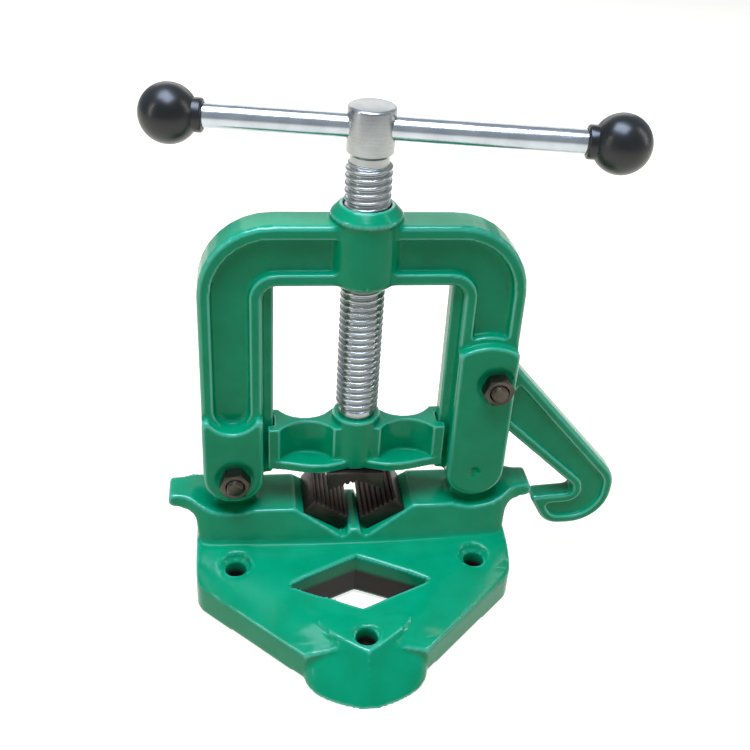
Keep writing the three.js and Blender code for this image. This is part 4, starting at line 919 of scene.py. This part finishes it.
SCREW_LOW, SCREW_HIGH = (corner.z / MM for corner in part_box("clamp_screw"))
BAR_Z = sum(corner.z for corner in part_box("handle_bar")) / 2 / MM
SCREW_R, THREAD_DEPTH, PITCH = 10, 1.6, 3.3
HEAD_LOW, THREAD_HIGH, THREAD_LOW = SCREW_HIGH - 20.5, SCREW_HIGH - 23.5, 94.6
NECK_R, NECK_LOW = 8.3, THREAD_HIGH - 1.5
JOURNAL_R, JOURNAL_CHAMFER = 7, 0.5
SHOULDER_R, SHOULDER_LOW, SHOULDER_HIGH = 8.6, 91.3, THREAD_LOW + 1
CROSS_HOLE_R, CROSS_HOLE_HALF = 5.12, 14
along_bar = Matrix.Rotation(BAR_TURN, 4, "Z") @ Matrix.Rotation(math.radians(90), 4, "Y")

head_mesh = turned("screw_head", [
    (0, NECK_LOW), (NECK_R, NECK_LOW), (NECK_R, HEAD_LOW), (8.5, HEAD_LOW), (9.8, HEAD_LOW + 1.3),
    (SCREW_R, HEAD_LOW + 1.6), (SCREW_R, SCREW_HIGH - 1.3), (9.8, SCREW_HIGH - 0.6),
    (9.3, SCREW_HIGH - 0.15), (8.6, SCREW_HIGH), (0, SCREW_HIGH),
])
hole_tool = turned("hole_tool", [
    (0, -CROSS_HOLE_HALF), (CROSS_HOLE_R, -CROSS_HOLE_HALF),
    (CROSS_HOLE_R, CROSS_HOLE_HALF), (0, CROSS_HOLE_HALF),
], steps=64)
hole_tool.transform(Matrix.Translation((0, 0, BAR_Z * MM)) @ along_bar)
head_mesh = drilled(head_mesh, hole_tool)
show("screw_head", head_mesh, "screw", screw_steel, ["clamp_screw"])

screw_sizes = (SCREW_R, THREAD_DEPTH, PITCH, THREAD_LOW, THREAD_HIGH)
thread = thread_mesh(*(size * MM for size in screw_sizes), around=72, per_turn=12, material=screw_steel)
show("screw_thread", thread, "screw", screw_steel, [])

tail_mesh = turned("screw_journal", [
    (0, SCREW_LOW), (JOURNAL_R - JOURNAL_CHAMFER, SCREW_LOW), (JOURNAL_R, SCREW_LOW + JOURNAL_CHAMFER),
    (JOURNAL_R, SHOULDER_LOW), (SHOULDER_R, SHOULDER_LOW), (SHOULDER_R, SHOULDER_HIGH), (0, SHOULDER_HIGH),
])
show("screw_journal", tail_mesh, "screw", screw_steel, [])

# %% [markdown]
# ## Handle
#
# The handle is a polished bar with a moulded ball screwed on each end. Each ball has a short round neck
# towards the screw. Both are turned like the screw, then laid along the bar's direction.

# %% Turn the bar and the knobs
BAR_R, BAR_TIP_R, BAR_CHAMFER, BAR_SHIFT = 5, 4.4, 0.6, 9.4
KNOB_SPACING, KNOB_R, BALL_STEPS = 184.6, 12.5, 36
COLLAR_R, COLLAR_END, SOCKET_R, SOCKET_END = 7.0, 14.3, 5.3, 2.0
half = (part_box("handle_bar")[1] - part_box("handle_bar")[0]).x / 2 / MM
bar_half = (half - BAR_R * math.sin(abs(BAR_TURN))) / math.cos(BAR_TURN)


def lay_on_bar(mesh, distance, towards):
    flip = Matrix.Rotation(math.radians(180), 4, "X") if towards < 0 else Matrix.Identity(4)
    on_bar = Matrix.Translation((0, 0, BAR_Z * MM)) @ along_bar
    mesh.transform(on_bar @ Matrix.Translation((0, 0, distance * MM)) @ flip)
    return mesh


bar_mesh = turned("handle_bar", [
    (0, -bar_half), (BAR_TIP_R, -bar_half), (BAR_R, BAR_CHAMFER - bar_half),
    (BAR_R, bar_half - BAR_CHAMFER), (BAR_TIP_R, bar_half), (0, bar_half),
])
lay_on_bar(bar_mesh, BAR_SHIFT, 1)
show("polished_bar", bar_mesh, "handle", bar_steel, ["handle_bar"])

opening = math.acos(COLLAR_R / KNOB_R)
ball = [(0, -KNOB_R)]
for k in range(1, BALL_STEPS + 1):
    angle = -math.pi / 2 + (math.pi / 2 + opening) * k / BALL_STEPS
    ball.append((KNOB_R * math.cos(angle), KNOB_R * math.sin(angle)))
ball += [(COLLAR_R, 13.2), (6.85, 13.7), (6.4, 14.1), (5.9, COLLAR_END)]
ball += [(SOCKET_R, COLLAR_END), (SOCKET_R, SOCKET_END), (0, SOCKET_END)]
for name, node, side in (("knob_ball_left", "knob_left", -1), ("knob_ball_right", "knob_right", 1)):
    knob = lay_on_bar(turned(name, ball), BAR_SHIFT + side * KNOB_SPACING / 2, -side)
    show(name, knob, "handle", knob_black, [node])

# %% [markdown]
# ## Pivot bolts and nuts
#
# A hex nut is a hexagon whose corners are cut by a shallow cone on both faces. Seen from above, the
# distance to the hexagon's edge depends on the angle only, so the nut can be turned like a round piece
# with a radius that changes with the angle. The bolt's end shows a few turns of thread in front of it.

# %% Make the nuts and bolts
ACROSS_FLATS, NUT_HEIGHT, HEAD_HEIGHT, HEX_TURN = 13.0, 6.5, 5.3, math.radians(8)
FACE_R, CONE_SLOPE, HEX_SHARP = ACROSS_FLATS / 2 * 0.97, 0.58, 24
BORE_R, MOUTH_R, MOUTH_DEPTH = 4.15, 4.7, 0.5
BOLT_R, BOLT_GROOVE, BOLT_PITCH, BOLT_START, BOLT_TIP = 4, 0.62, 1.25, 2, 0.1
AXIS_R = 0.01


def hexed(name, rings, steps=72):
    """Rings of (radius or "hex", height, cone share) in mm, swept round Z and closed into a loop."""
    shell = bmesh.new()
    made = []
    for radius, height, cone in rings:
        ring = []
        for k in range(steps):
            a = 2 * math.pi * k / steps
            edge = ACROSS_FLATS / 2 / math.cos((a % (math.pi / 3)) - math.pi / 6)
            r = edge if radius == "hex" else radius
            h = height + cone * (edge - FACE_R) * CONE_SLOPE
            ring.append(shell.verts.new((r * MM * math.cos(a), r * MM * math.sin(a), h * MM)))
        made.append(ring)
    for low, high in zip(made, made[1:] + made[:1]):
        for k in range(steps):
            shell.faces.new((low[k], low[(k + 1) % steps], high[(k + 1) % steps], high[k]))
    mesh = plain(name, shell, HEX_SHARP)
    mesh.transform(Matrix.Rotation(HEX_TURN, 4, "Z"))
    return mesh


def show_in_front(name, mesh, x, y, z, replaced):
    """Turns a piece made along Z to face the front, -Y, and shows it on the yoke."""
    mesh.transform(Matrix.Translation((x * MM, y * MM, z * MM)) @ Matrix.Rotation(math.radians(90), 4, "X"))
    show(name, mesh, "yoke", black_oxide, replaced)


for pivot in ("yoke_pivot", "hook_pivot"):
    low, high = (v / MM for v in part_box(pivot + "_nut"))
    middle = (low + high) / 2
    nut = hexed(pivot + "_hex_nut", [
        (BORE_R, MOUTH_DEPTH, 0), (MOUTH_R, 0, 0), (FACE_R, 0, 0), ("hex", 0, 1),
        ("hex", NUT_HEIGHT, -1), (FACE_R, NUT_HEIGHT, 0), (MOUTH_R, NUT_HEIGHT, 0),
        (BORE_R, NUT_HEIGHT - MOUTH_DEPTH, 0),
    ])
    show_in_front(pivot + "_hex_nut", nut, middle.x, high.y, middle.z, [pivot + "_nut"])
    bolt_low, bolt_high = (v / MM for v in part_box(pivot + "_bolt"))
    bolt_sizes = (BOLT_R, BOLT_GROOVE, BOLT_PITCH, BOLT_START, bolt_high.y - bolt_low.y - BOLT_TIP)
    shank = thread_mesh(*(size * MM for size in bolt_sizes), around=48, per_turn=8, material=black_oxide)
    show_in_front(pivot + "_thread", shank, middle.x, bolt_high.y, middle.z, [])
    head = hexed(pivot + "_hex_head", [
        (AXIS_R, 0, 0), (FACE_R, 0, 0), ("hex", 0, 1), ("hex", HEAD_HEIGHT, 0), (AXIS_R, HEAD_HEIGHT, 0),
    ])
    show_in_front(pivot + "_hex_head", head, middle.x, bolt_high.y, middle.z, [pivot + "_bolt"])

# %% [markdown]
# ## Jaws
#
# The jaws are milled from tool steel and hardened. Their teeth are already in the solids. A narrow bevel
# on every edge catches the light, which is what makes a small hard edge readable at this size.

# %% Break the edges of the jaws
JAW_BEVEL, JAW_SHARP = 0.2, 40


def broken_edges(node):
    mesh = merged_copy(node)
    shell = opened(mesh)
    bmesh.ops.dissolve_limit(shell, angle_limit=math.radians(1), verts=shell.verts, edges=shell.edges)
    piece = helper("edge_helper", closed(shell, mesh))
    edge = piece.modifiers.new("edge", "BEVEL")
    edge.width = JAW_BEVEL * MM
    edge.segments = 2
    edge.limit_method = "ANGLE"
    edge.angle_limit = math.radians(25)
    return smoothed(finished(piece), JAW_SHARP)


for name, node, body in (
    ("toothed_jaw_left", "lower_jaw_left", "base"),
    ("toothed_jaw_right", "lower_jaw_right", "base"),
    ("toothed_jaw_upper", "upper_jaw", "slider"),
):
    show(name, broken_edges(node), body, tool_steel, [node])

# %% [markdown]
# ## Hidden pieces
#
# The dowels that locate the jaws, and the washer and bolt that tie the crosshead to the screw, are out of
# sight when the vise is together. Their solids stay as they are and only get the right steel.

# %% Finish the hidden pieces
for node, material in (
    ("lower_jaw_pin_left", screw_steel), ("lower_jaw_pin_right", screw_steel),
    ("upper_jaw_pin_left", screw_steel), ("upper_jaw_pin_right", screw_steel),
    ("screw_retainer_washer", screw_steel), ("screw_retainer_bolt", black_oxide),
):
    solid = nodes[node].data
    solid.materials.clear()
    solid.materials.append(material)
print("solids left as they are:", [n for n, o in nodes.items() if not o.hide_render])

# %% Find the bounds of the pieces shown
low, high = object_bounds()
